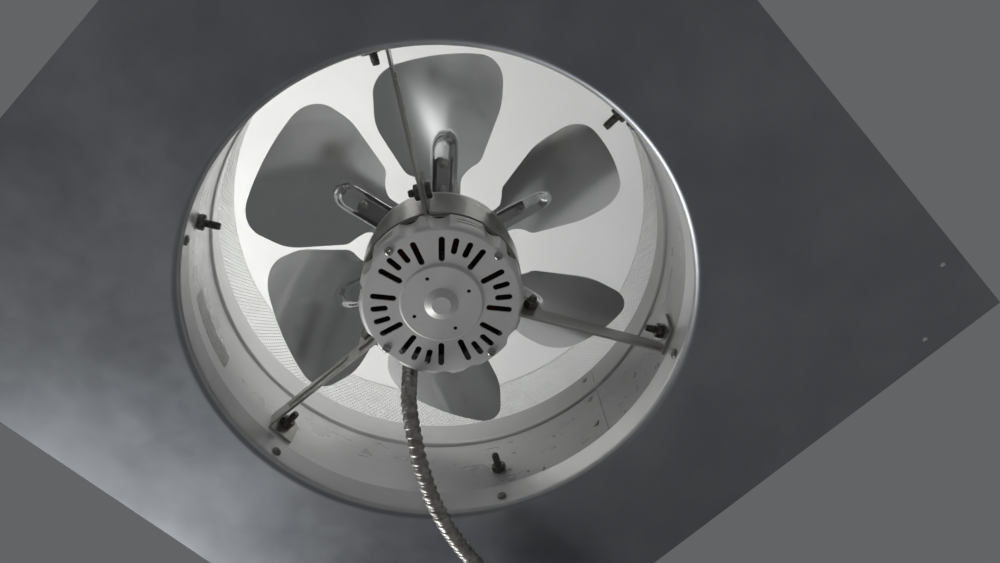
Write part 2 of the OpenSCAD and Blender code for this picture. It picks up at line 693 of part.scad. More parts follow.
// Upper end bell: pressed cover with the upper bearing's boss
upper_boss_z = 99;
upper_slot_n = 12;
upper_edge = 3;
upper_flare = 6;
module upper_section(o) {
  polygon([[0, shell_z1], [shell_r - o, shell_z1], [shell_r - o, upper_z - upper_edge],
    [shell_r - upper_edge, upper_z - o], [boss_r + upper_flare, upper_z - o], [boss_r, upper_boss_z - o],
    [0, upper_boss_z - o]]);
}
module upper_end_bell() color("gainsboro") difference() {
  union() {
    rotate_extrude($fn = 192) difference() {
      intersection() {
        upper_section(0);
        translate([0, shell_z1 + face_gap]) square([shell_r, upper_boss_z]);
      }
      upper_section(bell_t);
    }
    ring(bearing_r + face_gap, boss_r, upper_boss_z - bell_t - bearing_l, upper_boss_z - bell_t / 2);
  }
  translate([0, 0, upper_z]) cylinder(r = shaft_d / 2 + 1, h = upper_boss_z);
  for (i = [0 : 3]) rotate([0, 0, through_az + 90 * i]) translate([through_r, 0, upper_z - 2 * bell_t - cut])
    cylinder(r = through_d / 2 + face_gap, h = 3 * bell_t + 2 * cut, $fn = 32);
  for (i = [0 : upper_slot_n - 1]) rotate([0, 0, through_az + (i + 0.5) * 360 / upper_slot_n])
    translate([slot_long_r0, -slot_w / 2, upper_z - 2 * bell_t])
      cube([slot_r1 - slot_long_r0, slot_w, 3 * bell_t]);
}

// Stator stack: round laminations, notched outside for the through bolts and slotted inside for the coils
core_r = shell_r - shell_t - face_gap;
module stator_core() color("dimgray") difference() {
  ring(rotor_r + air_gap, core_r, core_z0, core_z1, $fn = 192);
  for (i = [0 : 3]) rotate([0, 0, through_az + 90 * i]) translate([through_r, 0, core_z0 - cut]) {
    cylinder(r = through_d / 2 + bolt_gap, h = core_z1 - core_z0 + 2 * cut, $fn = 32);
    translate([0, -through_d / 2 - bolt_gap, 0])
      cube([core_r, through_d + 2 * bolt_gap, core_z1 - core_z0 + 2 * cut]);
  }
  for (i = [0 : core_slot_n - 1]) rotate([0, 0, i * 360 / core_slot_n])
    translate([rotor_r, 0, core_z0 - cut]) {
      translate([0, -core_slot_w / 4, 0]) cube([core_slot_l, core_slot_w / 2, core_z1 - core_z0 + 2 * cut]);
      translate([core_tooth_t, -core_slot_w / 2, 0])
        cube([core_slot_l, core_slot_w, core_z1 - core_z0 + 2 * cut]);
    }
}
core_slot_w = 5;
core_slot_l = 14;
core_tooth_t = 2.5;

// Windings: wound end turns on both faces of the stack, joined through its slots
winding_r0 = rotor_r + core_tooth_t + 1.5;
winding_notch_r = 3.5;
coil_l = core_slot_l - 4;
winding_r1 = rotor_r + core_slot_l + 2;
module stator_windings() color("peru") {
  for (z = [core_z0 - winding_h, core_z1 + face_gap])
    difference() {
      ring(winding_r0, winding_r1, z, z + winding_h - face_gap, $fn = 96);
      for (i = [0 : core_slot_n - 1]) rotate([0, 0, (i + 0.5) * 360 / core_slot_n])
        translate([winding_r1 + winding_notch_r / 2, 0, z - cut])
          cylinder(r = winding_notch_r, h = winding_h + 2 * cut, $fn = 24);
    }
  for (i = [0 : core_slot_n - 1]) rotate([0, 0, i * 360 / core_slot_n])
    translate([winding_r0, -core_slot_w / 2 + face_gap, core_z0 - cut])
      cube([coil_l, core_slot_w - 2 * face_gap, core_z1 - core_z0 + 2 * cut]);
}

// Through bolts: four long screws that clamp the end bells on the shell
through_head_r = 3.3;
through_head_h = 2.2;
through_nut_af = 6.4;
through_nut_h = 3;
through_end = 4.5;
module through_bolts() color("silver")
  for (i = [0 : 3]) rotate([0, 0, through_az + 90 * i]) translate([through_r, 0, 0]) {
    translate([0, 0, bell_z - through_head_h - face_gap])
      cylinder(r = through_head_r, h = through_head_h, $fn = 48);
    translate([0, 0, bell_z - cut])
      cylinder(r = through_d / 2, h = upper_z + through_end - bell_z + cut, $fn = 32);
  }
module through_nuts() color("silver")
  for (i = [0 : 3]) rotate([0, 0, through_az + 90 * i]) translate([through_r, 0, upper_z + face_gap])
    difference() {
      cylinder(r = through_nut_af / sqrt(3), h = through_nut_h, $fn = 6);
      translate([0, 0, -cut]) cylinder(r = through_d / 2 + face_gap, h = through_nut_h + 2 * cut, $fn = 32);
    }

// Bearings: bronze bushes held in the end bells' bosses
lower_bearing_z = disc_face_z + bell_t;
upper_bearing_z = upper_boss_z - bell_t - bearing_l;
module lower_bearing() color("peru")
  ring(shaft_d / 2 + running_gap, bearing_r, lower_bearing_z, lower_bearing_z + bearing_l);
module upper_bearing() color("peru")
  ring(shaft_d / 2 + running_gap, bearing_r, upper_bearing_z, upper_bearing_z + bearing_l);

// Bearing plates: pressed washers riveted over the bearings inside the end bells
plate_t = 1;
module bearing_plates() color("gray") {
  z0 = lower_bearing_z + bearing_l + face_gap;
  z1 = upper_bearing_z - face_gap - plate_t;
  for (z = [z0, z1]) ring(shaft_d / 2 + 1, boss_r, z, z + plate_t);
}

// Rotor: laminated squirrel cage pressed on the shaft
end_ring_h = 5;
end_ring_w = 8;
fin_n = 8;
fin_h = 4;
fin_w = 2;
module rotor() color("silver") {
  ring(shaft_d / 2, rotor_r, core_z0, core_z1);
  for (z = [core_z0 - end_ring_h, core_z1]) ring(rotor_r - 1 - end_ring_w, rotor_r - 1, z, z + end_ring_h);
  for (z = [core_z0 - end_ring_h - fin_h, core_z1 + end_ring_h - cut]) for (i = [0 : fin_n - 1])
    rotate([0, 0, i * 360 / fin_n]) translate([rotor_r - end_ring_w + fin_w, -fin_w / 2, z])
      cube([end_ring_w / 2, fin_w, fin_h + cut]);
}

// Motor shaft: ground rod with a flat on one side for the hub's set screw
shaft_flat = 0.8;
module motor_shaft() color("silver") translate([0, 0, shaft_z0]) difference() {
  cylinder(r = shaft_d / 2, h = shaft_z1 - shaft_z0);
  translate([shaft_d / 2 - shaft_flat, -shaft_d, hub_z - shaft_z0])
    cube([shaft_d, 2 * shaft_d, shaft_z1 - hub_z + cut]);
}

// Thrust washers: nylon rings on the shaft, just inside the bearings
washer_t = 1.5;
module thrust_washers() color("white")
  for (z = [lower_bearing_z + bearing_l + washer_t, upper_bearing_z - 2 * washer_t])
    ring(shaft_d / 2 + face_gap, bearing_r - 1, z, z + washer_t);

// Frame of a blade: x runs out along its rib, and the blade lies in the xy plane
module blade_frame(i) rotate([0, 0, blade_az + i * 360 / blade_n]) translate([0, 0, blade_z])
  rotate([0, -blade_cone, 0]) rotate([blade_pitch, 0, 0]) children();

// Fan hub: bushing on the shaft, pressed plate and an arm for each blade
arm_top = channel_h - blade_t / 2 - face_gap;
hub_z = blade_z + arm_top - hub_t / 2;
bushing_z0 = hub_z - bushing_l / 2 + 2;
setscrew_r = 3;
setscrew_l = 8.5;
setscrew_key_r = 1.6;
setscrew_key_l = 3.5;
setscrew_z = bushing_z0 + bushing_l - 1.6 * setscrew_r;
module fan_hub() color("gray") difference() {
  union() {
    translate([0, 0, hub_z - hub_t / 2]) cylinder(r = hub_plate_r, h = hub_t);
    translate([0, 0, bushing_z0]) cylinder(r = bushing_r, h = bushing_l);
    for (i = [0 : blade_n - 1]) blade_frame(i) translate([0, 0, arm_top - hub_t]) difference() {
      union() {
        translate([bushing_r, -arm_w / 2, 0]) cube([hub_arm_x1 - arm_w / 2 - bushing_r, arm_w, hub_t]);
        translate([hub_arm_x1 - arm_w / 2, 0, 0]) cylinder(r = arm_w / 2, h = hub_t);
      }
      for (x = blade_rivet_x) translate([x, 0, -cut])
        cylinder(r = blade_rivet_d / 2 + face_gap, h = hub_t + 2 * cut, $fn = 32);
    }
  }
  translate([0, 0, hub_z - bushing_l]) cylinder(r = shaft_d / 2, h = 2 * bushing_l);
  translate([0, 0, setscrew_z]) rotate([0, 90, 0])
    cylinder(r = setscrew_r + face_gap, h = bushing_r + cut, $fn = 32);
}

// Set screw: socket screw in the bushing that presses on the shaft's flat
module hub_setscrew() color("dimgray") translate([shaft_d / 2 - shaft_flat, 0, setscrew_z]) rotate([0, 90, 0])
  difference() {
    cylinder(r = setscrew_r, h = setscrew_l, $fn = 32);
    translate([0, 0, setscrew_l - setscrew_key_l])
      cylinder(r = setscrew_key_r, h = setscrew_key_l + cut, $fn = 6);
  }

// Plan outline of a blade: root corners and knees (as parts of the fan's radius), a round tip and two
// round corners, with a tongue for its rib
trail_root = [[0.4156, -0.138], [0.4374, -0.1853], [0.6926, -0.3335]];
lead_root = [[0.72, 0.2868], [0.4465, 0.1853], [0.4222, 0.1276]];
tongue_w = 14;
tongue_lap = 10;
// Tiny step where a round corner meets the tip and the side, so that they cross instead of only touching
corner_step = 0.03;
module blade_outline() {
  trail_x = sqrt(pow(fan_r - trail_corner_r, 2) - pow(blade_trail - trail_corner_r, 2));
  lead_x = sqrt(pow(fan_r - lead_corner_r, 2) - pow(blade_lead - lead_corner_r, 2));
  trail_c = [trail_x, trail_corner_r - blade_trail];
  lead_c = [lead_x, blade_lead - lead_corner_r];
  difference() {
    intersection() {
      circle(r = fan_r, $fn = 360);
      polygon(concat([[blade_root_x, -tongue_w]], fan_r * trail_root,
        [[trail_x, -blade_trail], [2 * fan_r, -blade_trail], [2 * fan_r, blade_lead], [lead_x, blade_lead]],
        fan_r * lead_root, [[blade_root_x, tongue_w]]));
    }
    polygon([trail_c, [trail_x, -fan_r], [fan_r, -fan_r], 2 * trail_c]);
    polygon([lead_c, [lead_x, fan_r], [fan_r, fan_r], 2 * lead_c]);
  }
  translate(trail_c) circle(r = trail_corner_r - corner_step);
  translate(lead_c) circle(r = lead_corner_r - corner_step);
  translate([channel_x0, -tongue_w]) square([blade_root_x + tongue_lap - channel_x0, 2 * tongue_w]);
}

// Solid of the blade's channel, grown outward by o and reaching down to z0
module channel_half(o, z0) {
  polygon([[0, z0], [channel_w + o, z0], [channel_w + o, -blade_t / 2],
    [channel_floor_w + o, channel_h - blade_t / 2 + o], [0, channel_h - blade_t / 2 + o]]);
}
module channel_solid(o, z0, x0) {
  translate([x0, 0, 0]) rotate([90, 0, 90]) linear_extrude(channel_x1 - x0) {
    channel_half(o, z0);
    mirror([1, 0]) channel_half(o, z0);
  }
  translate([channel_x1, 0, 0]) rotate([0, 0, -90]) rotate_extrude(angle = 180) channel_half(o, z0);
}

// Blade: pressed sheet with a channel that its hub arm lies in
module blade(i) color("silver") difference() {
  union() {
    intersection() {
      rotate([0, 0, blade_az + i * 360 / blade_n]) translate([0, 0, blade_z - blade_trail])
        linear_extrude(2 * blade_trail) blade_outline();
      blade_frame(i) translate([0, -fan_r, -blade_t / 2]) cube([1.5 * fan_r, 2 * fan_r, blade_t]);
    }
    blade_frame(i) channel_solid(blade_t, -blade_t / 2, channel_x0);
  }
  blade_frame(i) channel_solid(0, -3 * cut, channel_x0 - tongue_lap);
  blade_frame(i) for (x = blade_rivet_x) translate([x, 0, 0])
    cylinder(r = blade_rivet_d / 2 + face_gap, h = 2 * channel_h, $fn = 32);
}

// Blade rivets: two through each arm and channel floor
blade_rivet_head_r = 0.85 * blade_rivet_d;
blade_rivet_head_h = 1.5;
module blade_rivets() color("gray")
  for (i = [0 : blade_n - 1]) blade_frame(i) for (x = blade_rivet_x) translate([x, 0, 0]) {
    low = arm_top - hub_t - face_gap - blade_rivet_head_h;
    high = channel_h + blade_t / 2 + face_gap;
    translate([0, 0, low]) cylinder(r = blade_rivet_d / 2, h = high + blade_rivet_head_h - low, $fn = 32);
    for (z = [low, high]) translate([0, 0, z])
      cylinder(r = blade_rivet_head_r, h = blade_rivet_head_h, $fn = 32);
  }

// Route of the conduit's middle line: down beside the motor, then out under the throat's edge to the box
conduit_route = [
  [29.3, 65.8, 62], [29.3, 65.8, 54], [29.3, 65.8, 46], [29.3, 65.8, 37], [29.3, 65.8, 26],
  [30, 66.5, 14], [31.5, 68, 2.5], [34.5, 71, -8.5], [39.5, 74, -19], [45.5, 77.5, -28.5],
  [53, 81.5, -36.5], [61.5, 86.5, -43.5], [71, 91, -49], [81, 96, -53], [91.5, 100.5, -56],
  [102.5, 104.5, -58], [113.5, 108.5, -58.5], [125, 112, -58.5], [136, 115, -58], [147.5, 118, -57],
  [159, 120.5, -55.5], [170.5, 123, -54.5], [182.5, 124.5, -53.5], [194, 125.5, -53],
  [206, 126, -52.5], [212, 126, -52.5]
];
route_n = len(conduit_route);

// Connector on the motor: a bent fitting, screwed into the shell, that turns the conduit down
nipple_r = 6;
connector_r = 8;
connector_lip = 6;
elbow_body_r = connector_r - 0.5;
nipple_l = 4;
fitting_hex_h = 3;
wire_bore_r = 4;
// The conduit's first point is the middle of the connector's outlet
elbow_az = atan2(conduit_route[0][1], conduit_route[0][0]);
elbow_r = norm([conduit_route[0][0], conduit_route[0][1]]);
elbow_out_z = conduit_route[0][2];
nipple_x0 = shell_r - shell_t - nipple_l;
module motor_connector() color("silver") rotate([0, 0, elbow_az]) difference() {
  union() {
    translate([nipple_x0, 0, elbow_z]) rotate([0, 90, 0]) cylinder(r = nipple_r, h = elbow_r - nipple_x0);
    translate([shell_r + face_gap, 0, elbow_z]) rotate([0, 90, 0])
      cylinder(r = elbow_body_r, h = fitting_hex_h, $fn = 6);
    translate([elbow_r, 0, elbow_z]) sphere(r = elbow_body_r);
    translate([elbow_r, 0, elbow_out_z]) cylinder(r = elbow_body_r, h = elbow_z - elbow_out_z);
    translate([elbow_r, 0, elbow_out_z]) cylinder(r = connector_r, h = connector_lip);
  }
  translate([nipple_x0 - cut, 0, elbow_z]) rotate([0, 90, 0])
    cylinder(r = wire_bore_r, h = elbow_r - nipple_x0 + cut);
  translate([elbow_r, 0, elbow_out_z - cut]) cylinder(r = wire_bore_r, h = elbow_z - elbow_out_z + cut);
}

// Locknut inside the shell; the shell is round and the nut flat, so the nut stands off by its seat
locknut_seat = 0.7;
locknut_h = 2.5;
motor_locknut_r = 8.5;
module motor_locknut() color("gray") rotate([0, 0, elbow_az])
  translate([shell_r - shell_t - locknut_seat - locknut_h, 0, elbow_z]) rotate([0, 90, 0]) difference() {
    cylinder(r = motor_locknut_r, h = locknut_h, $fn = 6);
    translate([0, 0, -cut]) cylinder(r = nipple_r + face_gap, h = locknut_h + 2 * cut);
  }

function route_at(i) = conduit_route[max(0, min(route_n - 1, i))];
// Point of a smooth curve between the route's points i and i + 1
function smooth(i, t) = 0.5 * (2 * route_at(i) + (route_at(i + 1) - route_at(i - 1)) * t
  + (2 * route_at(i - 1) - 5 * route_at(i) + 4 * route_at(i + 1) - route_at(i + 2)) * t * t
  + (3 * route_at(i) - route_at(i - 1) - 3 * route_at(i + 1) + route_at(i + 2)) * t * t * t);
steps = 8;
curve = [for (i = [0 : route_n - 2]) for (k = [0 : steps - 1]) smooth(i, k / steps), route_at(route_n - 1)];
curve_n = len(curve);
curve_s = [for (i = 0, s = 0; i < curve_n; i = i + 1,
  s = i < curve_n ? s + norm(curve[i] - curve[i - 1]) : s) s];
conduit_l = curve_s[curve_n - 1];
table = [for (k = [0 : 2]) [for (i = [0 : curve_n - 1]) [curve_s[i], curve[i][k]]]];
function place(s) = [for (k = [0 : 2]) lookup(s, table[k])];
function unit(v) = v / norm(v);
function heading(s) = s < 1 ? [0, 0, -1] : s > conduit_l - 1 ? [1, 0, 0] : unit(place(s + 1) - place(s - 1));
// A level direction that the conduit never runs along
side_ref = [-0.55, 0.83, 0];
sides = 8;
function hoop(s, r) = let (d = heading(s), u = unit(cross(d, side_ref)), v = cross(d, u))
  [for (j = [0 : sides - 1]) place(s) + r * (cos(j * 360 / sides) * u + sin(j * 360 / sides) * v)];

rib_n = floor(conduit_l / rib_pitch);
rib_l = conduit_l / rib_n;
// Outer surface: every rib is a crest and a groove; inner surface: the bore, back from end to start
outer_hoops = concat([hoop(0, conduit_d / 2 - rib_depth)],
  [for (i = [0 : rib_n - 1]) for (k = [0 : 1])
    hoop((i + (k == 0 ? 0.35 : 0.85)) * rib_l, conduit_d / 2 - k * rib_depth)],
  [hoop(conduit_l, conduit_d / 2 - rib_depth)]);
bore_n = 30;
bore_hoops = [for (i = [bore_n : -1 : 0]) hoop(conduit_l * i / bore_n, conduit_bore / 2)];
hoops = concat(outer_hoops, bore_hoops);

// Conduit: one ribbed tube with its bore, swept along the route
module conduit() color("darkgray") {
  n = len(hoops);
  polyhedron(
    points = [for (h = hoops) each h],
    faces = [for (i = [0 : n - 1]) for (j = [0 : sides - 1])
      let (a = i * sides + j, b = i * sides + (j + 1) % sides,
        c = ((i + 1) % n) * sides + (j + 1) % sides, d = ((i + 1) % n) * sides + j)
      each [[a, b, c], [a, c, d]]]
  );
}

// Connector on the box: straight fitting that grips the conduit's end, screwed into the box's wall
box_connector_l = 8;
box_grip_r = connector_r + 1;
box_hex_r = connector_r + 2.5;
box_nipple_r = nipple_r + 2;
box_nipple_l = 5;
box_locknut_r = 12;
route_end = conduit_route[route_n - 1];
box_x0 = route_end[0] + box_connector_l;
box_mid = [box_x0 + box_l / 2, route_end[1], route_end[2]];
module box_connector() color("silver") translate([box_x0, box_mid[1], box_mid[2]]) rotate([0, 90, 0])
  difference() {
    union() {
      translate([0, 0, -box_connector_l]) cylinder(r = box_grip_r, h = box_connector_l - fitting_hex_h);
      translate([0, 0, -fitting_hex_h - cut])
        cylinder(r = box_hex_r, h = fitting_hex_h + cut - face_gap, $fn = 6);
      translate([0, 0, -fitting_hex_h - cut])
        cylinder(r = box_nipple_r, h = fitting_hex_h + cut + box_t + box_nipple_l);
    }
    translate([0, 0, -box_connector_l - cut])
      cylinder(r = wire_bore_r, h = box_connector_l + box_t + box_nipple_l + 2 * cut);
  }
module box_locknut() color("gray")
  translate([box_x0 + box_t + face_gap, box_mid[1], box_mid[2]]) rotate([0, 90, 0]) difference() {
    cylinder(r = box_locknut_r, h = locknut_h, $fn = 6);
    translate([0, 0, -cut]) cylinder(r = box_nipple_r + face_gap, h = locknut_h + 2 * cut);
  }

// Thermostat box: pressed steel box, open below and closed by its cover, with an ear for each cover screw
box_hole_x = 35;
box_hole_r = 2.4;
knockout_r = 11;
ear_l = 9;
ear_w = 12;
ear_h = 12;
cover_t = 1.2;
cover_lip = 1;
cover_screw_x = 44;
cover_screw_r = 1.8;
module thermostat_box() color("lightgray") translate(box_mid) difference() {
  union() {
    difference() {
      translate([-box_l / 2, -box_w / 2, -box_h / 2]) cube([box_l, box_w, box_h]);
      translate([-box_l / 2 + box_t, -box_w / 2 + box_t, -box_h / 2 - cut])
        cube([box_l - 2 * box_t, box_w - 2 * box_t, box_h + cut - box_t]);
    }
    for (side = [0, 1]) mirror([side, 0, 0])
      translate([box_l / 2 - box_t / 2 - ear_l, -ear_w / 2, -box_h / 2]) cube([ear_l, ear_w, ear_h]);
  }
  translate([-box_l / 2 - cut, 0, 0]) rotate([0, 90, 0])
    cylinder(r = box_nipple_r + face_gap, h = box_t + 2 * cut);
  translate([box_l / 2 - box_t - cut, 0, 0]) rotate([0, 90, 0]) cylinder(r = knockout_r, h = box_t + 2 * cut);
  for (x = [-box_hole_x, box_hole_x]) translate([x, 0, box_h / 2 - box_t - cut])
    cylinder(r = box_hole_r, h = box_t + 2 * cut, $fn = 32);
  for (x = [-cover_screw_x, cover_screw_x]) translate([x, 0, -box_h / 2 - cut])
    cylinder(r = cover_screw_r + face_gap, h = ear_h + 2 * cut, $fn = 32);
}

// Box cover: flat plate with a hole for the dial's stem and two screw holes
cover_z = box_mid[2] - box_h / 2 - face_gap - cover_t;
module box_cover() color("lightgray") translate([box_mid[0], box_mid[1], cover_z]) difference() {
  translate([-box_l / 2 - cover_lip, -box_w / 2 - cover_lip, 0])
    cube([box_l + 2 * cover_lip, box_w + 2 * cover_lip, cover_t]);
  translate([0, 0, -cut]) cylinder(r = stem_r + 2, h = cover_t + 2 * cut, $fn = 48);
  for (x = [-cover_screw_x, cover_screw_x]) translate([x, 0, -cut])
    cylinder(r = cover_screw_r + 2 * face_gap, h = cover_t + 2 * cut, $fn = 32);
}

// Cover screws: pan-head screws up into the box's ears
cover_screw_l = 12;
cover_screw_head_r = 3.4;
cover_screw_head_h = 1.8;
module cover_screws() color("silver") translate([box_mid[0], box_mid[1], cover_z - face_gap])
  for (x = [-cover_screw_x, cover_screw_x]) translate([x, 0, 0]) {
    translate([0, 0, -cover_screw_head_h]) cylinder(r = cover_screw_head_r, h = cover_screw_head_h, $fn = 32);
    translate([0, 0, -cut]) cylinder(r = cover_screw_r, h = cover_screw_l + cut, $fn = 32);
  }

// Thermostat: switch body behind the cover, with a well for the dial's stem
stat_l = 44;
stat_w = 30;
stat_h = 22;
stem_r = 3;
stem_l = 8;
well_r = stem_r + 1.5;
well_h = 9;
module thermostat_body() color("dimgray") translate([box_mid[0], box_mid[1], cover_z + cover_t + face_gap])
  difference() {
    translate([-stat_l / 2, -stat_w / 2, 0]) cube([stat_l, stat_w, stat_h]);
    translate([0, 0, -cut]) cylinder(r = well_r, h = well_h + cut, $fn = 48);
  }

// Dial: scalloped knob under the cover, with a pointer groove and a stem up into the thermostat
dial_gap = 0.35;
pointer_w = 2;
pointer_l = 0.45 * dial_r;
pointer_t = 0.8;
scallop_n = 24;
scallop_r = 1.2;
scallop_x = dial_r + scallop_r / 2;
module thermostat_dial() color("ivory") translate([box_mid[0], box_mid[1], cover_z - dial_gap]) difference() {
  union() {
    translate([0, 0, -dial_h]) cylinder(r = dial_r, h = dial_h);
    translate([0, 0, -cut]) cylinder(r = stem_r, h = stem_l + cut);
  }
  translate([-pointer_w / 2, pointer_l, -dial_h - cut]) cube([pointer_w, pointer_l, cut + pointer_t]);
  for (i = [0 : scallop_n - 1]) rotate([0, 0, i * 360 / scallop_n]) translate([scallop_x, 0, -dial_h - cut])
    cylinder(r = scallop_r, h = dial_h + 2 * cut, $fn = 24);
}

roof_flange();
neck_screws();
sleeve();
seam_rivets();
insect_screen();
dome();
dome_bracket(0);  // dome_bracket_1
dome_bracket(1);  // dome_bracket_2
dome_bracket(2);  // dome_bracket_3
dome_rivets();
dome_bolts();
dome_nuts();
motor_leg(0);  // motor_leg_1
motor_leg(1);  // motor_leg_2
motor_leg(2);  // motor_leg_3
foot_bolts();
foot_nuts();
clamp_bolts();
clamp_nuts();
lower_end_bell();
upper_end_bell();
motor_shell();
stator_core();
stator_windings();
through_bolts();
through_nuts();
lower_bearing();
upper_bearing();
bearing_plates();
rotor();
motor_shaft();
thrust_washers();
fan_hub();
hub_setscrew();
blade(0);  // blade_1
blade(1);  // blade_2
blade(2);  // blade_3
blade(3);  // blade_4
blade(4);  // blade_5
blade(5);  // blade_6
blade_rivets();
motor_connector();
motor_locknut();
conduit();
box_connector();
box_locknut();
thermostat_box();
box_cover();
cover_screws();
thermostat_body();
thermostat_dial();
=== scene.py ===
import math
import random

import bmesh
import bpy
from mathutils import Matrix, Vector


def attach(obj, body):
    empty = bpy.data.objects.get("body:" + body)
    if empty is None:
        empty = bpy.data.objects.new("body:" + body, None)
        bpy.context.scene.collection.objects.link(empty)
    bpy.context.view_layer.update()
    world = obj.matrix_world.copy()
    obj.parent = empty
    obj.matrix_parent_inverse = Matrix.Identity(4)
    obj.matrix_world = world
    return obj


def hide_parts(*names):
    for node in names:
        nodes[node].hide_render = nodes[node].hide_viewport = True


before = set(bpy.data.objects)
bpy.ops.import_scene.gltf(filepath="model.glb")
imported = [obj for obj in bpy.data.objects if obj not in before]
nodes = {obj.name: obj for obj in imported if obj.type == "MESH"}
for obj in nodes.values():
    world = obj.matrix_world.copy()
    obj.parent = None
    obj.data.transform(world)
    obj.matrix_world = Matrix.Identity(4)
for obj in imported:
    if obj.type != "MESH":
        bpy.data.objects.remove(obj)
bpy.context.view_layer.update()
random.seed(7)

# Where the vent is seen from
# The photographer stands in the attic below, a little to one side of the throat, and looks steeply up.
# A pale floor lies under it, daylight falls on the dome, and one wide lamp low at the side stands for the
# light of the room.
camera_x, camera_y, camera_z = -0.20355, -0.20852, -0.6023
look_az = math.radians(36.64)
look_up = math.radians(65.58)
head_tilt = math.radians(-8.04)
ahead = Vector((
    math.cos(look_up) * math.cos(look_az),
    math.cos(look_up) * math.sin(look_az),
    math.sin(look_up),
))
level_right = Vector((math.sin(look_az), -math.cos(look_az), 0))
level_up = level_right.cross(ahead)
right = math.cos(head_tilt) * level_right + math.sin(head_tilt) * level_up
up = -math.sin(head_tilt) * level_right + math.cos(head_tilt) * level_up
lens = bpy.data.cameras.new("attic_camera")
lens.lens = 32.27
lens.sensor_width = 36
lens.clip_start = 0.01
camera = bpy.data.objects.new("attic_camera", lens)
camera.matrix_world = Matrix((
    (right.x, up.x, -ahead.x, camera_x),
    (right.y, up.y, -ahead.y, camera_y),
    (right.z, up.z, -ahead.z, camera_z),
    (0, 0, 0, 1),
))
bpy.context.collection.objects.link(camera)
bpy.context.scene.camera = camera
bpy.context.scene.view_settings.view_transform = "Standard"


def finish_of(name, color, metal=0.0, rough=0.5):
    """A new finish with its plain values on the shader: the material, its node tree and the shader."""
    mat = bpy.data.materials.new(name)
    mat.use_nodes = True
    tree = mat.node_tree
    shader = tree.nodes["Principled BSDF"]
    shader.inputs["Base Color"].default_value = (*color, 1)
    shader.inputs["Metallic"].default_value = metal
    shader.inputs["Roughness"].default_value = rough
    mat.diffuse_color = (*color, 1)
    return mat, tree, shader


def lamp(name, place, aim, size, watts, spread, tint=(1, 1, 1)):
    """A soft round lamp, whose light may be kept to a cone of the given angle."""
    light = bpy.data.lights.new(name, "AREA")
    light.shape = "DISK"
    light.size = size
    light.energy = watts
    light.spread = math.radians(spread)
    light.color = tint
    lamp_object = bpy.data.objects.new(name, light)
    lamp_object.location = place
    lamp_object.rotation_euler = (Vector(aim) - Vector(place)).to_track_quat("-Z", "Y").to_euler()
    bpy.context.collection.objects.link(lamp_object)


lamp("daylight_above", (-0.84, 0.72, 0.95), (-0.05, 0.05, 0.15), size=0.9, watts=2.9, spread=50,
     tint=(1.0, 0.99, 0.97))
lamp("daylight_front", (1.3, -1.2, 1.2), (0, 0, 0.1), size=1.2, watts=0.7, spread=40)
lamp("daylight_low", (-1.35, 0.95, 0.5), (-0.2, 0.15, 0.06), size=1.5, watts=1.4, spread=60)
lamp("room_side", (0.3, 1.55, -0.52), (0, -0.05, 0.05), size=1.0, watts=6.5, spread=120)

floor_z = -2.2
floor_half = 9
floor_finish = finish_of("pale_floor", (0.37, 0.37, 0.366), rough=0.9)[0]
floor_mesh = bpy.data.meshes.new("floor")
floor_corners = [(x * floor_half, y * floor_half, floor_z) for x, y in ((-1, -1), (1, -1), (1, 1), (-1, 1))]
floor_mesh.from_pydata(floor_corners, [], [(0, 1, 2, 3)])
floor = bpy.data.objects.new("floor", floor_mesh)
bpy.context.collection.objects.link(floor)
floor_mesh.materials.append(floor_finish)


def add(tree, kind, **values):
    """One shader node with its settings and plain input values."""
    item = tree.nodes.new(kind)
    for key, value in values.items():
        if hasattr(item, key):
            setattr(item, key, value)
        else:
            item.inputs[key.replace("_", " ")].default_value = value
    return item


def joined(tree, operation, first, second):
    """Two numbers put together by a maximum, a product or the like."""
    joint = add(tree, "ShaderNodeMath", operation=operation)
    tree.links.new(first, joint.inputs[0])
    tree.links.new(second, joint.inputs[1])
    return joint.outputs[0]


world = bpy.data.worlds.new("attic")
bpy.context.scene.world = world
world.use_nodes = True
air = world.node_tree
air.nodes.clear()
room_out = add(air, "ShaderNodeOutputWorld")
room_light = add(air, "ShaderNodeBackground", Color=(0.97, 0.98, 1.0, 1), Strength=0.36)
seen_wall = add(air, "ShaderNodeBackground", Color=(0.125, 0.128, 0.131, 1), Strength=1.0)
ray = add(air, "ShaderNodeLightPath")
seen_or_mirrored = joined(air, "MAXIMUM", ray.outputs["Is Camera Ray"], ray.outputs["Is Glossy Ray"])
room = add(air, "ShaderNodeMixShader")
air.links.new(seen_or_mirrored, room.inputs["Fac"])
air.links.new(room_light.outputs[0], room.inputs[1])
air.links.new(seen_wall.outputs[0], room.inputs[2])
air.links.new(room.outputs[0], room_out.inputs["Surface"])

# Roof flange
# A square of galvanised sheet with its hole rolled up into a short collar. It lies on the roof deck and
# is screwed down near its corners. Its underside is painted dark blue-grey as shade, and its top and
# collar are painted lighter as daylit zinc, which also paints a highlight along the rolled lip.


def tint_between(tree, fac, low, high, low_at=0.3, high_at=0.7):
    """A colour that runs from low to high as fac runs from low_at to high_at."""
    ramp = tree.nodes.new("ShaderNodeValToRGB")
    ramp.color_ramp.elements[0].position = low_at
    ramp.color_ramp.elements[0].color = (*low, 1)
    ramp.color_ramp.elements[1].position = high_at
    ramp.color_ramp.elements[1].color = (*high, 1)
    tree.links.new(fac, ramp.inputs["Fac"])
    return ramp.outputs["Color"]


def spread_to(tree, fac, low, high, low_at=0.0, high_at=1.0):
    """A number that runs from low to high as fac runs from low_at to high_at."""
    spread = add(tree, "ShaderNodeMapRange", From_Min=low_at, From_Max=high_at, To_Min=low, To_Max=high)
    tree.links.new(fac, spread.inputs["Value"])
    return spread.outputs[0]


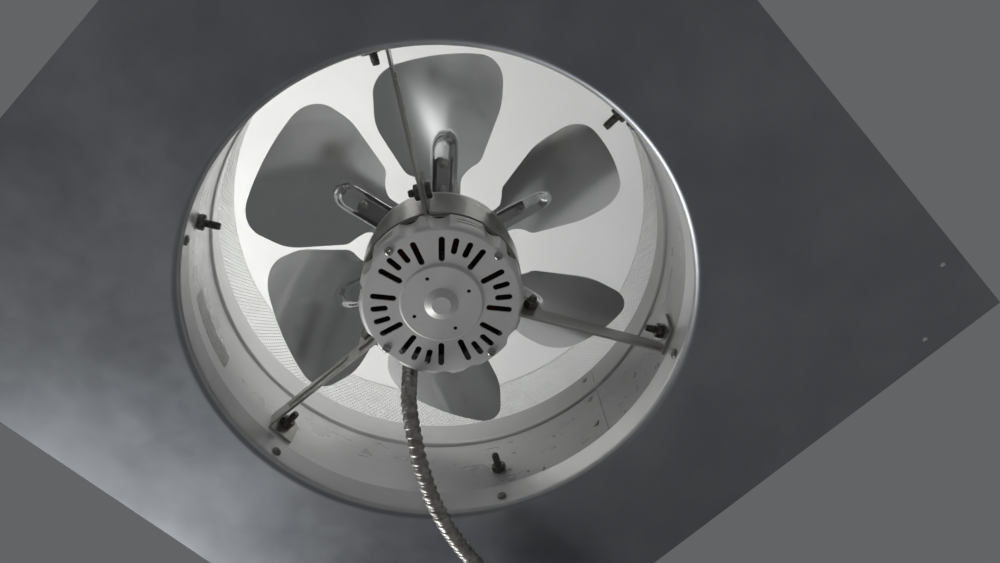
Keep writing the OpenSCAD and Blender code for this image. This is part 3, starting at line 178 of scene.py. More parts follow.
def own_place(tree):
    """A point's place in the object's own space, in metres."""
    return add(tree, "ShaderNodeTexCoord").outputs["Object"]


def axes_of(tree, vector):
    """The X, Y and Z of a vector."""
    split = add(tree, "ShaderNodeSeparateXYZ")
    tree.links.new(vector, split.inputs[0])
    return split.outputs


def cloud_on(tree, scale, detail=5.0, roughness=0.6, stretch=None):
    """Cloudy noise fixed to the object, drawn out along its axes where stretch is given."""
    cloud = add(tree, "ShaderNodeTexNoise", Scale=scale, Detail=detail, Roughness=roughness)
    source = own_place(tree)
    if stretch:
        mapping = add(tree, "ShaderNodeMapping")
        mapping.inputs["Scale"].default_value = stretch
        tree.links.new(source, mapping.inputs["Vector"])
        source = mapping.outputs[0]
    tree.links.new(source, cloud.inputs["Vector"])
    return cloud.outputs["Fac"]


def color_by(tree, shader, fac, low, high, low_at=0.3, high_at=0.7):
    """Lets a pattern draw a surface's colour between low and high."""
    tree.links.new(tint_between(tree, fac, low, high, low_at, high_at), shader.inputs["Base Color"])


def relief_on(tree, shader, height, strength, distance):
    """Raises a surface's shading by a pattern, at most by the distance in metres."""
    relief = add(tree, "ShaderNodeBump", Strength=strength, Distance=distance)
    tree.links.new(height, relief.inputs["Height"])
    tree.links.new(relief.outputs[0], shader.inputs["Normal"])


def blended(tree, share, first, second):
    """A mix of two numbers, with the given share of the second."""
    blend = add(tree, "ShaderNodeMix", data_type="FLOAT")
    blend.inputs[0].default_value = share
    tree.links.new(first, blend.inputs[2])
    tree.links.new(second, blend.inputs[3])
    return blend.outputs[0]


def mixed_color(tree, share, first, second, blend_type="MIX"):
    """A first colour that gives way to a second one, which may be plain, where the share is high."""
    mix = add(tree, "ShaderNodeMix", data_type="RGBA", blend_type=blend_type)
    tree.links.new(share, mix.inputs[0])
    tree.links.new(first, mix.inputs[6])
    if isinstance(second, tuple):
        mix.inputs[7].default_value = (*second, 1)
    else:
        tree.links.new(second, mix.inputs[7])
    return mix.outputs[2]


def zinc_sheet(name, dark, light, metal, rough, spangle, share, stretch, bump=0.05):
    """Galvanised sheet: faint zinc spangle, long soft streaks, and roughness that follows both."""
    mat, tree, shader = finish_of(name, tuple((a + b) / 2 for a, b in zip(dark, light)), metal, rough[1])
    streaks = cloud_on(tree, 3.2, 6.0, 0.6, stretch)
    flakes = add(tree, "ShaderNodeTexVoronoi", Scale=spangle)
    tree.links.new(own_place(tree), flakes.inputs["Vector"])
    zinc = blended(tree, share, streaks, flakes.outputs["Color"])
    color_by(tree, shader, zinc, dark, light)
    tree.links.new(spread_to(tree, zinc, *rough, 0.3, 0.7), shader.inputs["Roughness"])
    relief_on(tree, shader, blended(tree, 0.5, zinc, cloud_on(tree, 420.0, 3.0)), bump, 0.0003)
    return mat


def dress(mat, *names):
    """Gives CAD nodes whose shape is right their finish."""
    for name in names:
        mesh = nodes[name].data
        mesh.materials.clear()
        mesh.materials.append(mat)


flange_zinc = zinc_sheet("flange_zinc", (0.275, 0.29, 0.315), (0.37, 0.385, 0.41), metal=0.92,
                         rough=(0.3, 0.42), spangle=70, share=0.05, stretch=(2.4, 2.4, 1))
tree = flange_zinc.node_tree
shader = tree.nodes["Principled BSDF"]
shaded_underside_zinc = shader.inputs["Base Color"].links[0].from_socket
# The underside keeps a dark zinc as painted shade. The top, and the collar above 1.1 mm, get a lighter zinc
# as painted daylight, which also draws a painted highlight along the rolled lip.
daylit_zinc = tint_between(tree, cloud_on(tree, 9.0, 6.0, 0.65), (0.6, 0.605, 0.6), (0.72, 0.725, 0.72))
lit_from_z, lit_by_z = 0.0011, 0.0022
on_collar = spread_to(tree, axes_of(tree, own_place(tree))["Z"], 0.0, 1.0, lit_from_z, lit_by_z)
facing = axes_of(tree, add(tree, "ShaderNodeNewGeometry").outputs["True Normal"])
on_top = spread_to(tree, facing["Z"], 0.0, 1.0, 0.3, 0.6)
flange_color = mixed_color(tree, joined(tree, "MAXIMUM", on_collar, on_top), shaded_underside_zinc, daylit_zinc)
tree.links.new(flange_color, shader.inputs["Base Color"])


def solid_piece(name, verts, faces, body, mat, *replaced, crease=35, slot=None):
    """A mesh given in millimetres, shaded smooth up to a crease angle, riding on a body."""
    mesh = bpy.data.meshes.new(name)
    mesh.from_pydata([(x / 1000, y / 1000, z / 1000) for x, y, z in verts], [], faces)
    mesh.validate()
    mesh.shade_smooth()
    mesh.set_sharp_from_angle(angle=math.radians(crease))
    mesh.materials.append(mat)
    piece = bpy.data.objects.new(name, mesh)
    bpy.context.collection.objects.link(piece)
    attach(piece, body)
    if replaced:
        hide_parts(*replaced)
    return piece


throat_r = 190.5
sheet_t = 0.8
flare_r = 6
collar_top = 28.5
flange_half = 305
smoothing = 1.5
roll_x = throat_r + flare_r
roll_steps = 12


def rolled_skin(r):
    """The quarter turn from the flat sheet up into the collar, on a skin of radius r."""
    turns = [math.pi / 2 * k / roll_steps for k in range(roll_steps + 1)]
    return [(roll_x - r * math.sin(a), flare_r - r * math.cos(a)) for a in turns]


top_skin, seen_skin = rolled_skin(flare_r - sheet_t), rolled_skin(flare_r)
section = [(roll_x + smoothing, sheet_t), *top_skin, (throat_r + sheet_t, flare_r + smoothing)]
section += [(throat_r + sheet_t, collar_top), (throat_r, collar_top), (throat_r, flare_r + smoothing)]
section += [*reversed(seen_skin), (roll_x + smoothing, 0)]
columns = 720
verts = []
for k in range(columns):
    a = 2 * math.pi * k / columns
    edge = flange_half / max(abs(math.cos(a)), abs(math.sin(a)))
    for r, z in [(edge, 0), (edge, sheet_t), *section]:
        verts.append((r * math.cos(a), r * math.sin(a), z))
rows = len(section) + 2
faces = []
for k in range(columns):
    here, there = k * rows, (k + 1) % columns * rows
    for i in range(rows):
        j = (i + 1) % rows
        faces.append((here + i, there + i, there + j, here + j))
rolled_flange = solid_piece("rolled_flange", verts, faces, "frame", flange_zinc, "roof_flange",
                            slot="flange_sheet")
nail_across, nail_along, nail_hole_r = 290, 245, 2
neck_z, neck_hole_r, first_neck = 13.5, 2.1, -30
drills = bmesh.new()


def drill(spot, r, length=10):
    """A round tool centred on the spot and along its Z."""
    bmesh.ops.create_cone(drills, cap_ends=True, segments=32, radius1=r / 1000, radius2=r / 1000,
                          depth=length / 1000, matrix=spot)


for quarter in range(4):
    for y in (-nail_along, nail_along):
        turn = Matrix.Rotation(math.pi / 2 * quarter, 4, "Z")
        drill(turn @ Matrix.Translation((nail_across / 1000, y / 1000, 0)), nail_hole_r)
for k in range(6):
    spot = Matrix.Rotation(math.radians(first_neck + 60 * k), 4, "Z")
    spot = spot @ Matrix.Translation((throat_r / 1000, 0, neck_z / 1000))
    drill(spot @ Matrix.Rotation(math.pi / 2, 4, "Y"), neck_hole_r)
drill_mesh = bpy.data.meshes.new("drills")
drills.to_mesh(drill_mesh)
drills.free()
drill_set = bpy.data.objects.new("drills", drill_mesh)
bpy.context.collection.objects.link(drill_set)
drilled = rolled_flange.modifiers.new("drilled", "BOOLEAN")
drilled.operation = "DIFFERENCE"
drilled.solver = "EXACT"
drilled.object = drill_set
bpy.context.view_layer.update()
cut_flange = rolled_flange.evaluated_get(bpy.context.evaluated_depsgraph_get())
pierced = bpy.data.meshes.new_from_object(cut_flange)
rolled_flange.modifiers.clear()
rolled_flange.data = pierced
bpy.data.objects.remove(drill_set)

# Sleeve
# The throat's wall: galvanised strip rolled into a tube with one stiffening bead, lapped and riveted at
# the seam. It slips over the flange's collar. Its zinc is satin, with dark spots and dirt near the seam,
# and one side of the wall is painted darker as shade.
sleeve_in = 191.35
sleeve_out = 192.15
sleeve_zinc = zinc_sheet("sleeve_zinc", (0.82, 0.825, 0.82), (0.93, 0.935, 0.93), metal=0.3,
                         rough=(0.24, 0.38), spangle=80, share=0.06, stretch=(1.3, 1.3, 6))
tree = sleeve_zinc.node_tree
shader = tree.nodes["Principled BSDF"]
unshaded_zinc = shader.inputs["Base Color"].links[0].from_socket
# One side of the wall is multiplied darker: painted shade.
toward_shaded_side = add(tree, "ShaderNodeVectorMath", operation="DOT_PRODUCT")
toward_shaded_side.inputs[1].default_value = (0.93, -0.36, 0)
tree.links.new(own_place(tree), toward_shaded_side.inputs[0])
shade_from, shade_by, dirt_from_x, dirt_by_x, dirt_to_z, clean_at_z = 0.03, 0.17, 0.1, 0.185, 0.05, 0.1
side_shade_share = spread_to(tree, toward_shaded_side.outputs["Value"], 0.0, 1.0, shade_from, shade_by)
side_shaded_zinc = mixed_color(tree, side_shade_share, unshaded_zinc, (0.4, 0.4, 0.395), "MULTIPLY")
sleeve_axes = axes_of(tree, own_place(tree))
near_seam = spread_to(tree, sleeve_axes["X"], 0.0, 1.0, dirt_from_x, dirt_by_x)
low_down = spread_to(tree, sleeve_axes["Z"], 1.0, 0.0, dirt_to_z, clean_at_z)
spots = spread_to(tree, cloud_on(tree, 95.0, 6.0, 0.7), 0.0, 1.0, 0.61, 0.67)
smears = spread_to(tree, cloud_on(tree, 22.0, 9.0, 0.7, (1, 1, 1.3)), 0.0, 0.6, 0.56, 0.74)
dirt = joined(tree, "MULTIPLY", near_seam, joined(tree, "MAXIMUM", spots, smears))
dirt = joined(tree, "MULTIPLY", dirt, low_down)
tree.links.new(mixed_color(tree, dirt, side_shaded_zinc, (0.07, 0.068, 0.06)), shader.inputs["Base Color"])
dress(sleeve_zinc, "sleeve")

# Blank labels on the sleeve
# Two strips of thin foil stuck inside the throat, with rounded corners. Each holds only worn ruled lines.


def around(angle, r, z, side=0.0):
    """A point at a direction in degrees, a radius and a height, moved sideways."""
    a = math.radians(angle)
    return (r * math.cos(a) - side * math.sin(a), r * math.sin(a) + side * math.cos(a), z)


def foil_label(az_from, az_to, z_from, z_to, corner_r=3.0, foil_t=0.12, columns=40):
    """A thin strip that follows the throat's wall, with round corners."""
    skin = sleeve_in - 0.02
    length = math.radians(az_to - az_from) * skin
    verts, faces = [], []
    for c in range(columns + 1):
        run_in = length * (1 - math.cos(math.pi * c / columns)) / 2
        edge = min(run_in, length - run_in)
        trim = corner_r - math.sqrt(max(0.0, corner_r ** 2 - max(0.0, corner_r - edge) ** 2))
        az = az_from + math.degrees(run_in / skin)
        verts += [around(az, skin - foil_t, z_from + trim), around(az, skin - foil_t, z_to - trim),
                  around(az, skin, z_to - trim), around(az, skin, z_from + trim)]
    for c in range(columns):
        for k in range(4):
            j = (k + 1) % 4
            faces.append((4 * c + k, 4 * c + j, 4 * c + 4 + j, 4 * c + 4 + k))
    last = 4 * columns
    faces += [(3, 2, 1, 0), (last, last + 1, last + 2, last + 3)]
    return verts, faces


foil, tree, shader = finish_of("label_foil", (0.42, 0.42, 0.41), metal=0.6, rough=0.3)
half_line_step = 0.0017
rule = add(tree, "ShaderNodeMath", operation="PINGPONG")
tree.links.new(axes_of(tree, own_place(tree))["Z"], rule.inputs[0])
rule.inputs[1].default_value = half_line_step
line = spread_to(tree, rule.outputs[0], 1.0, 0.0, 0.00025, 0.0006)
worn = spread_to(tree, cloud_on(tree, 160.0, 3.0), 0.0, 1.0, 0.4, 0.55)
worn_line = joined(tree, "MULTIPLY", line, worn)
color_by(tree, shader, worn_line, (0.46, 0.455, 0.44), (0.12, 0.115, 0.11), 0.0, 1.0)
relief_on(tree, shader, cloud_on(tree, 55.0, 4.0), 0.3, 0.0006)
long_label = foil_label(az_from=112, az_to=132, z_from=44, z_to=62)
short_label = foil_label(az_from=301, az_to=309, z_from=28, z_to=56)
solid_piece("blank_label_long", *long_label, "frame", foil, slot="sleeve_sheet")
solid_piece("blank_label_short", *short_label, "frame", foil, slot="sleeve_sheet")

# Neck screws
# Six zinc-plated pan-head sheet screws, driven from inside the throat through collar and sleeve.
# Each head is a low dome with a cross recess, and its threaded tip shows outside the sleeve.


def turned(profile, steps=24, flats=None, closed=False):
    """A form turned about Z from (radius, height) points. A point with a third value is cut to a hexagon
    whose flats lie at the given distance, and a closed profile makes a ring."""
    verts, faces = [], []
    for r, z, *cut in profile:
        for k in range(steps):
            a = 2 * math.pi * k / steps
            reach = min(r, flats / math.cos(a % (math.pi / 3) - math.pi / 6)) if cut else r
            verts.append((reach * math.cos(a), reach * math.sin(a), z))
    count = len(profile)
    for i in range(count if closed else count - 1):
        low, high = i * steps, (i + 1) % count * steps
        for k in range(steps):
            j = (k + 1) % steps
            faces.append((low + k, low + j, high + j, high + k))
    if not closed:
        faces.append(tuple(range(steps))[::-1])
        faces.append(tuple(range((count - 1) * steps, count * steps)))
    return verts, faces


def laid(form, base, aim, spin=0.0):
    """A form drawn along Z, laid with its foot at base and its Z along aim."""
    turn = Vector(aim).to_track_quat("Z", "Y").to_matrix() @ Matrix.Rotation(spin, 3, "Z")
    return [tuple(turn @ Vector(v) + Vector(base)) for v in form[0]], form[1]


def gathered(forms):
    """Several forms as one list of points and faces."""
    verts, faces = [], []
    for form_verts, form_faces in forms:
        start = len(verts)
        verts += form_verts
        faces += [tuple(i + start for i in face) for face in form_faces]
    return verts, faces


def fastener_set(name, forms, mat, replaced, body="frame", crease=35):
    """Small parts of one kind as one piece, which stands for their CAD node."""
    solid_piece(name, *gathered(forms), body, mat, replaced, crease=crease, slot="fastener_steel")


def outward(angle):
    """The level direction away from the vent's axis at an angle in degrees."""
    a = math.radians(angle)
    return (math.cos(a), math.sin(a), 0)


def inward(angle):
    """The level direction towards the vent's axis."""
    a = math.radians(angle)
    return (-math.cos(a), -math.sin(a), 0)


def thread_points(r, start, end, pitch=1.27, depth=0.42, taper=0.0):
    """Crests and roots of a screw's thread from start to end, drawn in towards a point by taper."""
    points = []
    turns = int((end - start) / pitch)
    for i in range(turns):
        z = start + (i + 0.3) * pitch
        shrink = 1 - taper * max(0.0, (i / turns - 0.5) / 0.5)
        points += [(r * shrink, z), (r * shrink, z + 0.2 * pitch), ((r - depth) * shrink, z + 0.55 * pitch)]
    return points


def pan_head(r, h):
    """A low domed head with a cross recess, standing up from z = 0."""
    rings = [(0.97, 0.0), (1.0, 0.22), (0.96, 0.5), (0.86, 0.76), (0.74, 0.9), (0.62, 0.96), (0.54, 0.98),
             (0.46, 1.0), (0.38, 1.0), (0.3, 1.0), (0.22, 1.0), (0.14, 1.0), (0.02, 1.0)]
    verts, faces = turned([(r * x, h * z) for x, z in rings], 48)
    sunk = []
    for x, y, z in verts:
        arm = min(abs(x), abs(y))
        reach = math.hypot(x, y)
        if z > 0.9 * h and reach < 0.58 * r and arm < 0.13 * r:
            z -= 0.5 * h * (1 - 0.6 * reach / (0.58 * r))
        sunk.append((x, y, z))
    return sunk, faces


screw_zinc, tree, shader = finish_of("screw_zinc", (0.3, 0.3, 0.3), metal=0.85, rough=0.36)
dull = cloud_on(tree, 900.0, 4.0)
color_by(tree, shader, dull, (0.12, 0.115, 0.1), (0.36, 0.36, 0.34))
relief_on(tree, shader, dull, 0.15, 0.0002)
screw_steps = 20
face_gap = 0.05
neck_r = 2.05
neck_shank = [(neck_r, 0), *thread_points(neck_r, 0.4, 7.6, pitch=1.4, depth=0.4, taper=0.75), (0.3, 7.75)]
forms = []
for k in range(6):
    angle = first_neck + 60 * k
    seat = around(angle, throat_r - face_gap, neck_z)
    forms.append(laid(pan_head(r=4.0, h=2.0), seat, inward(angle), random.uniform(0, 1.5)))
    forms.append(laid(turned(neck_shank, screw_steps), around(angle, sleeve_in - 1, neck_z), outward(angle)))
fastener_set("neck_screw_set", forms, screw_zinc, "neck_screws", crease=42)

# Seam rivets
# Three aluminium blind rivets close the lap. Each has a shallow domed head on the throat's side with the
# dimple of its pulled stem, and a set end outside.


def domed_head(r, h, dimple=0.25):
    """A rivet's low head with the dimple of its stem, standing up from z = 0."""
    return turned([(r * 0.94, 0), (r, h * 0.2), (r * 0.86, h * 0.6), (r * 0.55, h * 0.95),
                   (r * dimple * 1.3, h), (r * dimple, h * 0.55), (0.001, h * 0.5)], 28)


rivet_metal, tree, shader = finish_of("rivet_metal", (0.4, 0.4, 0.4), metal=0.9, rough=0.36)
dull = cloud_on(tree, 700.0, 3.0)
color_by(tree, shader, dull, (0.22, 0.22, 0.215), (0.42, 0.42, 0.41))
relief_on(tree, shader, dull, 0.1, 0.0002)
seam_az = 1
rivet_r, rivet_head_r, rivet_set_r, rivet_head_h, rivet_gap = 1.6, 3.2, 2.56, 1.0, 0.04
screen_out, screen_foot = 192.75, 112.4
forms = []
for z in (51, 90, 124):
    skin = screen_out if z > screen_foot else sleeve_out + sheet_t
    stem = turned([(rivet_r, 0), (rivet_r, skin - sleeve_in)], screw_steps)
    head_seat, set_seat = around(seam_az, sleeve_in - rivet_gap, z), around(seam_az, skin + rivet_gap, z)
    forms.append(laid(domed_head(rivet_head_r, rivet_head_h), head_seat, inward(seam_az)))
    forms.append(laid(domed_head(rivet_set_r, rivet_head_h), set_seat, outward(seam_az)))
    forms.append(laid(stem, around(seam_az, sleeve_in, z), outward(seam_az)))
solid_piece("seam_rivet_set", *gathered(forms), "frame", rivet_metal, "seam_rivets", slot="sleeve_sheet")

# Insect screen
# A band of expanded metal between the sleeve's top and the dome, with a plain selvage lapped over
# the sleeve's outside. Its staggered diamond openings are about 3 mm wide and 5 mm high.
screen_in, screen_open, screen_top = 192.25, 132.6, 196.4
columns, rows = 300, 20
row_h = (screen_top - screen_open) / rows
open_share = 0.76
hem_h = 0.6
lap = 0.05
verts, faces = [], []


def diamond(cx, cz, share):
    """The corners of a diamond round a point, as a share of the mesh's full step."""
    side, tip = 0.5 * share, share * row_h
    return [(cx - side, cz), (cx, cz - tip), (cx + side, cz), (cx, cz + tip)]


def screen_point(col, height, r):
    """A point of the band, in columns round it."""
    a = 2 * math.pi * col / columns
    return (r * math.cos(a), r * math.sin(a), height)


for row in range(rows):
    for col in range(columns):
        cx = col + 0.5 * (row % 2)
        cz = screen_open + (row + 0.5) * row_h
        outer = [(x, min(max(z, screen_open - lap), screen_top)) for x, z in diamond(cx, cz, 1)]
        inner = diamond(cx, cz, open_share)
        base = len(verts)
        verts += [screen_point(x, z, screen_in) for x, z in outer + inner]
        verts += [screen_point(x, z, screen_out) for x, z in outer + inner]
        for i in range(4):
            j = (i + 1) % 4
            faces.append((base + i, base + 4 + i, base + 4 + j, base + j))
            faces.append((base + 8 + i, base + 8 + j, base + 12 + j, base + 12 + i))
            faces.append((base + 4 + i, base + 12 + i, base + 12 + j, base + 4 + j))
for low, high in ((screen_foot, screen_open), (screen_top - hem_h, screen_top)):
    base = len(verts)
    for r, z in ((screen_in, low), (screen_out, low), (screen_out, high), (screen_in, high)):
        verts += [screen_point(c, z, r) for c in range(columns)]
    for side in range(4):
        for c in range(columns):
            d = (c + 1) % columns
            s, t = base + side * columns, base + (side + 1) % 4 * columns
            faces.append((s + c, s + d, t + d, t + c))
screen_wire, tree, shader = finish_of("screen_wire", (0.9, 0.9, 0.89), metal=0.1, rough=0.42)
color_by(tree, shader, cloud_on(tree, 26.0), (0.9, 0.9, 0.89), (0.97, 0.97, 0.96))
solid_piece("screen_cloth", verts, faces, "frame", screen_wire, "insect_screen", slot="screen_mesh")

# Dome brackets
# Three straps of plated steel, bent cold, reach from the sleeve's outside to the dome's skirt. A bolt and
# nut hold each to the sleeve, with the nut and a long threaded end inside the throat.
strip_zinc = zinc_sheet("strip_zinc", (0.36, 0.355, 0.34), (0.56, 0.55, 0.53), metal=0.85,
                        rough=(0.24, 0.38), spangle=240, share=0.1, stretch=(5, 5, 5), bump=0.06)
dress(strip_zinc, "dome_bracket_1", "dome_bracket_2", "dome_bracket_3")
bolt_r = 3.175
hex_af = 11.1
bolt_head_h, nut_h = 4, 5.5
bolt_z = 52
bracket_dirs = (30, 150, 270)


def hex_bolt(across, head_h, r, length):
    """A chamfered hexagon head below z = 0 and a threaded shank above it."""
    half = across / 2
    head = [(0.001, -head_h), (0.94 * half, -head_h), (1.05 * half, 0.35 - head_h, 1),
            (1.16 * half, 0.7 - head_h, 1), (1.16 * half, 0, 1)]
    shank = [(r, 0), *thread_points(r, 0.5, length - 0.9), (r - 0.45, length - 0.4), (r - 0.9, length)]
    return turned([*head, *shank, (0.001, length)], 36, half)


def hex_nut(across, height, r):
    """A nut with both faces chamfered and a plain bore."""
    half = across / 2
    ring = [(r, 0.4), (r + 0.4, 0), (0.94 * half, 0), (1.05 * half, 0.35, 1), (1.16 * half, 0.7, 1),
            (1.16 * half, height - 0.7, 1), (1.05 * half, height - 0.35, 1), (0.94 * half, height),
            (r + 0.4, height), (r, height - 0.4)]
    return turned(ring, 36, half, closed=True)


dark_bolt, tree, shader = finish_of("dark_bolt", (0.16, 0.155, 0.145), metal=0.85, rough=0.38)
dull = cloud_on(tree, 500.0, 5.0)
color_by(tree, shader, dull, (0.07, 0.067, 0.06), (0.22, 0.215, 0.2))
relief_on(tree, shader, dull, 0.2, 0.0002)


def wall_fasteners(name, dirs, head_at, nut_at, tip_at=174.35):
    """Bolts through the sleeve's wall, each with its head outside and its nut and tip inside."""
    bolt = hex_bolt(hex_af, bolt_head_h, bolt_r, head_at - tip_at)
    nut = hex_nut(hex_af, nut_h, bolt_r + face_gap)
    bolts = [laid(bolt, around(a, head_at, bolt_z), inward(a), spin=0.3 + a) for a in dirs]
    nuts = [laid(nut, around(a, nut_at, bolt_z), outward(a), spin=a) for a in dirs]
    fastener_set(name + "_bolt_set", bolts, dark_bolt, name + "_bolts")
    fastener_set(name + "_nut_set", nuts, dark_bolt, name + "_nuts")


wall_fasteners("dome", bracket_dirs, head_at=194.25, nut_at=185.69)

# Dome
# The weather cover: a smooth white moulded dome with a thickened rim, riveted to the three brackets. It is
# thin enough that daylight glows through it, so its inside is the brightest thing in the throat.
dome_white, tree, shader = finish_of("dome_white", (0.88, 0.885, 0.88), metal=0.0, rough=0.4)
white = tint_between(tree, cloud_on(tree, 7.0, 6.0), (0.85, 0.855, 0.85), (0.91, 0.91, 0.905))
tree.links.new(white, shader.inputs["Base Color"])
relief_on(tree, shader, cloud_on(tree, 260.0, 4.0), 0.04, 0.0004)
glow = add(tree, "ShaderNodeBsdfTranslucent")
tree.links.new(white, glow.inputs["Color"])
both = add(tree, "ShaderNodeMixShader")
both.inputs[0].default_value = 0.8
tree.links.new(shader.outputs[0], both.inputs[1])
tree.links.new(glow.outputs[0], both.inputs[2])
tree.links.new(both.outputs[0], tree.nodes["Material Output"].inputs["Surface"])
dress(dome_white, "dome")
dome_r, bracket_inner_r, dome_rivet_z, dome_rivet_r = 300, 296.04, 128.5, 2
stem = turned([(dome_rivet_r, 0), (dome_rivet_r, dome_r - bracket_inner_r)], screw_steps)
set_end = turned([(2.5, 0), (2.6, 0.4), (2.6, 2.4), (2.2, 2.9), (0.001, 3)], screw_steps)
half_apart = 6
forms = []
for angle in bracket_dirs:
    for side in (-half_apart, half_apart):
        outside = around(angle, dome_r + face_gap, dome_rivet_z, side)
        inside = around(angle, bracket_inner_r - face_gap, dome_rivet_z, side)
        forms.append(laid(domed_head(r=3.4, h=1.15), outside, outward(angle)))
        forms.append(laid(set_end, inside, inward(angle)))
        forms.append(laid(stem, inside, outward(angle)))
fastener_set("dome_rivet_set", forms, rivet_metal, "dome_rivets")

# Stator, windings and rotor
# A stack of dark varnished laminations with enamelled copper coils, around a cast aluminium rotor on a
# ground shaft. The coils show only as a dark red gleam through the slots of the lower end bell; their
# copper is painted nearly black, as painted shade inside the motor.
core_dark, tree, shader = finish_of("core_dark", (0.04, 0.04, 0.042), metal=0.3, rough=0.55)
layers = cloud_on(tree, 30.0, 2.0, 0.5, (1, 1, 60))
color_by(tree, shader, layers, (0.025, 0.025, 0.027), (0.07, 0.07, 0.072))
relief_on(tree, shader, layers, 0.3, 0.0003)
dress(core_dark, "stator_core")
# The copper is painted nearly black as the shade inside the slots.
shade_dark_copper, tree, shader = finish_of("shade_dark_copper", (0.12, 0.05, 0.022), metal=0.5, rough=0.42)
coils = cloud_on(tree, 60.0, 3.0, 0.5, (1, 1, 14))
color_by(tree, shader, coils, (0.03, 0.014, 0.008), (0.09, 0.04, 0.018))
relief_on(tree, shader, coils, 0.6, 0.0006)
dress(shade_dark_copper, "stator_windings")
rotor_cast, tree, shader = finish_of("rotor_cast", (0.4, 0.4, 0.4), metal=0.85, rough=0.4)
color_by(tree, shader, cloud_on(tree, 180.0), (0.28, 0.28, 0.28), (0.5, 0.5, 0.5))
dress(rotor_cast, "rotor")
ground_steel, tree, shader = finish_of("ground_steel", (0.5, 0.5, 0.5), metal=1.0, rough=0.2)
marks = cloud_on(tree, 60.0, 4.0, 0.6, (1, 1, 22))
color_by(tree, shader, marks, (0.38, 0.38, 0.385), (0.6, 0.6, 0.6))
tree.links.new(spread_to(tree, marks, 0.12, 0.3), shader.inputs["Roughness"])
dress(ground_steel, "motor_shaft")

# Bearings, plates and washers
# Bronze sleeve bearings, each behind a pressed plate with four rivet holes, and nylon washers on the
# shaft that take the rotor's end play.
bronze, tree, shader = finish_of("bronze", (0.4, 0.24, 0.11), metal=0.9, rough=0.4)
color_by(tree, shader, cloud_on(tree, 400.0), (0.3, 0.18, 0.085), (0.48, 0.3, 0.14))
dress(bronze, "lower_bearing", "upper_bearing")
dress(strip_zinc, "bearing_plates")
nylon, tree, shader = finish_of("nylon", (0.8, 0.79, 0.74), metal=0.0, rough=0.5)
color_by(tree, shader, cloud_on(tree, 90.0), (0.76, 0.75, 0.69), (0.84, 0.83, 0.78))
dress(nylon, "thrust_washers")

# Motor shell and end bells
# The shell is a rolled tube of bright steel. The end bells are pressed with slots for cooling air, the lower
# one also with flutes round its edge. A thin coat of grey satin enamel lets the sheet's grain show.
dress(strip_zinc, "motor_shell")
bell_enamel, tree, shader = finish_of("bell_enamel", (0.7, 0.7, 0.69), metal=0.3, rough=0.34)
grain = blended(tree, 0.4, cloud_on(tree, 45.0, 6.0), cloud_on(tree, 900.0, 2.0))
color_by(tree, shader, grain, (0.67, 0.67, 0.66), (0.75, 0.75, 0.738))
tree.links.new(spread_to(tree, grain, 0.38, 0.52, 0.3, 0.7), shader.inputs["Roughness"])
relief_on(tree, shader, grain, 0.06, 0.0003)
dress(bell_enamel, "lower_end_bell", "upper_end_bell")

# Through bolts and nuts
# Four long screws hold the end bells on the shell. Their pan heads with cross recesses show between the
# slots of the lower bell, and small nuts close them on the upper bell.
through_dirs = [2.95 + 90 * k for k in range(4)]
through_at, through_r, through_end = 57, 2, 95.5
bell_face_z, through_nut_z = 7.5, 91.05
bright_screw, tree, shader = finish_of("bright_screw", (0.45, 0.45, 0.44), metal=0.95, rough=0.26)
color_by(tree, shader, cloud_on(tree, 800.0), (0.32, 0.32, 0.31), (0.52, 0.52, 0.51))
through_shank = turned([
    (0.001, bell_face_z), (through_r, bell_face_z), (through_r, 85),
    *thread_points(through_r, 85.5, 94.6, pitch=0.8, depth=0.3),
    (1.7, 95), (1.3, through_end), (0.001, through_end),
], screw_steps)
forms = []
for angle in through_dirs:
    seat = around(angle, through_at, bell_face_z - face_gap)
    forms.append(laid(pan_head(r=3.3, h=2.2), seat, (0, 0, -1), random.uniform(0, 1.5)))
    forms.append(laid(through_shank, around(angle, through_at, 0), (0, 0, 1)))
fastener_set("through_bolt_set", forms, bright_screw, "through_bolts", crease=42)
through_nut = turned([
    (2.05, 0.3), (2.35, 0), (3.05, 0), (3.4, 0.25, 1), (3.7, 0.5, 1),
    (3.7, 2.5, 1), (3.4, 2.75, 1), (3.05, 3), (2.35, 3), (2.05, 2.7),
], 36, flats=3.2, closed=True)
nut_seats = [around(angle, through_at, through_nut_z) for angle in through_dirs]
through_nuts = [laid(through_nut, seat, (0, 0, 1), spin=0.5) for seat in nut_seats]
fastener_set("through_nut_set", through_nuts, screw_zinc, "through_nuts")

# Motor legs
# Each leg is one pressed strip: a foot bolted to the sleeve, a ribbed arm on edge, a strap around a third
# of the motor and a lug that is clamped to the next leg's strap. Bolts and nuts are plated, now dull.
leg_dirs = (-30, 90, 210)
leg_zinc = zinc_sheet("leg_zinc", (0.34, 0.335, 0.315), (0.52, 0.51, 0.485), metal=0.85,
                      rough=(0.25, 0.4), spangle=200, share=0.08, stretch=(6, 6, 6), bump=0.06)
dress(leg_zinc, "motor_leg_1", "motor_leg_2", "motor_leg_3")
wall_fasteners("foot", leg_dirs, head_at=192.2, nut_at=183.24)
arm_start = Vector((62.2, 5, 0))
arm_turn = Matrix.Rotation(math.radians(3.116), 3, "Z")
clamp_along, clamp_z, clamp_head_y, clamp_nut_y, clamp_length = 12.8, 50, 3.15, -1.05, 14.15
clamp_bolt = hex_bolt(hex_af, bolt_head_h, bolt_r, clamp_length)
clamp_nut = hex_nut(hex_af, nut_h, bolt_r + face_gap)
clamp_bolts, clamp_nuts = [], []
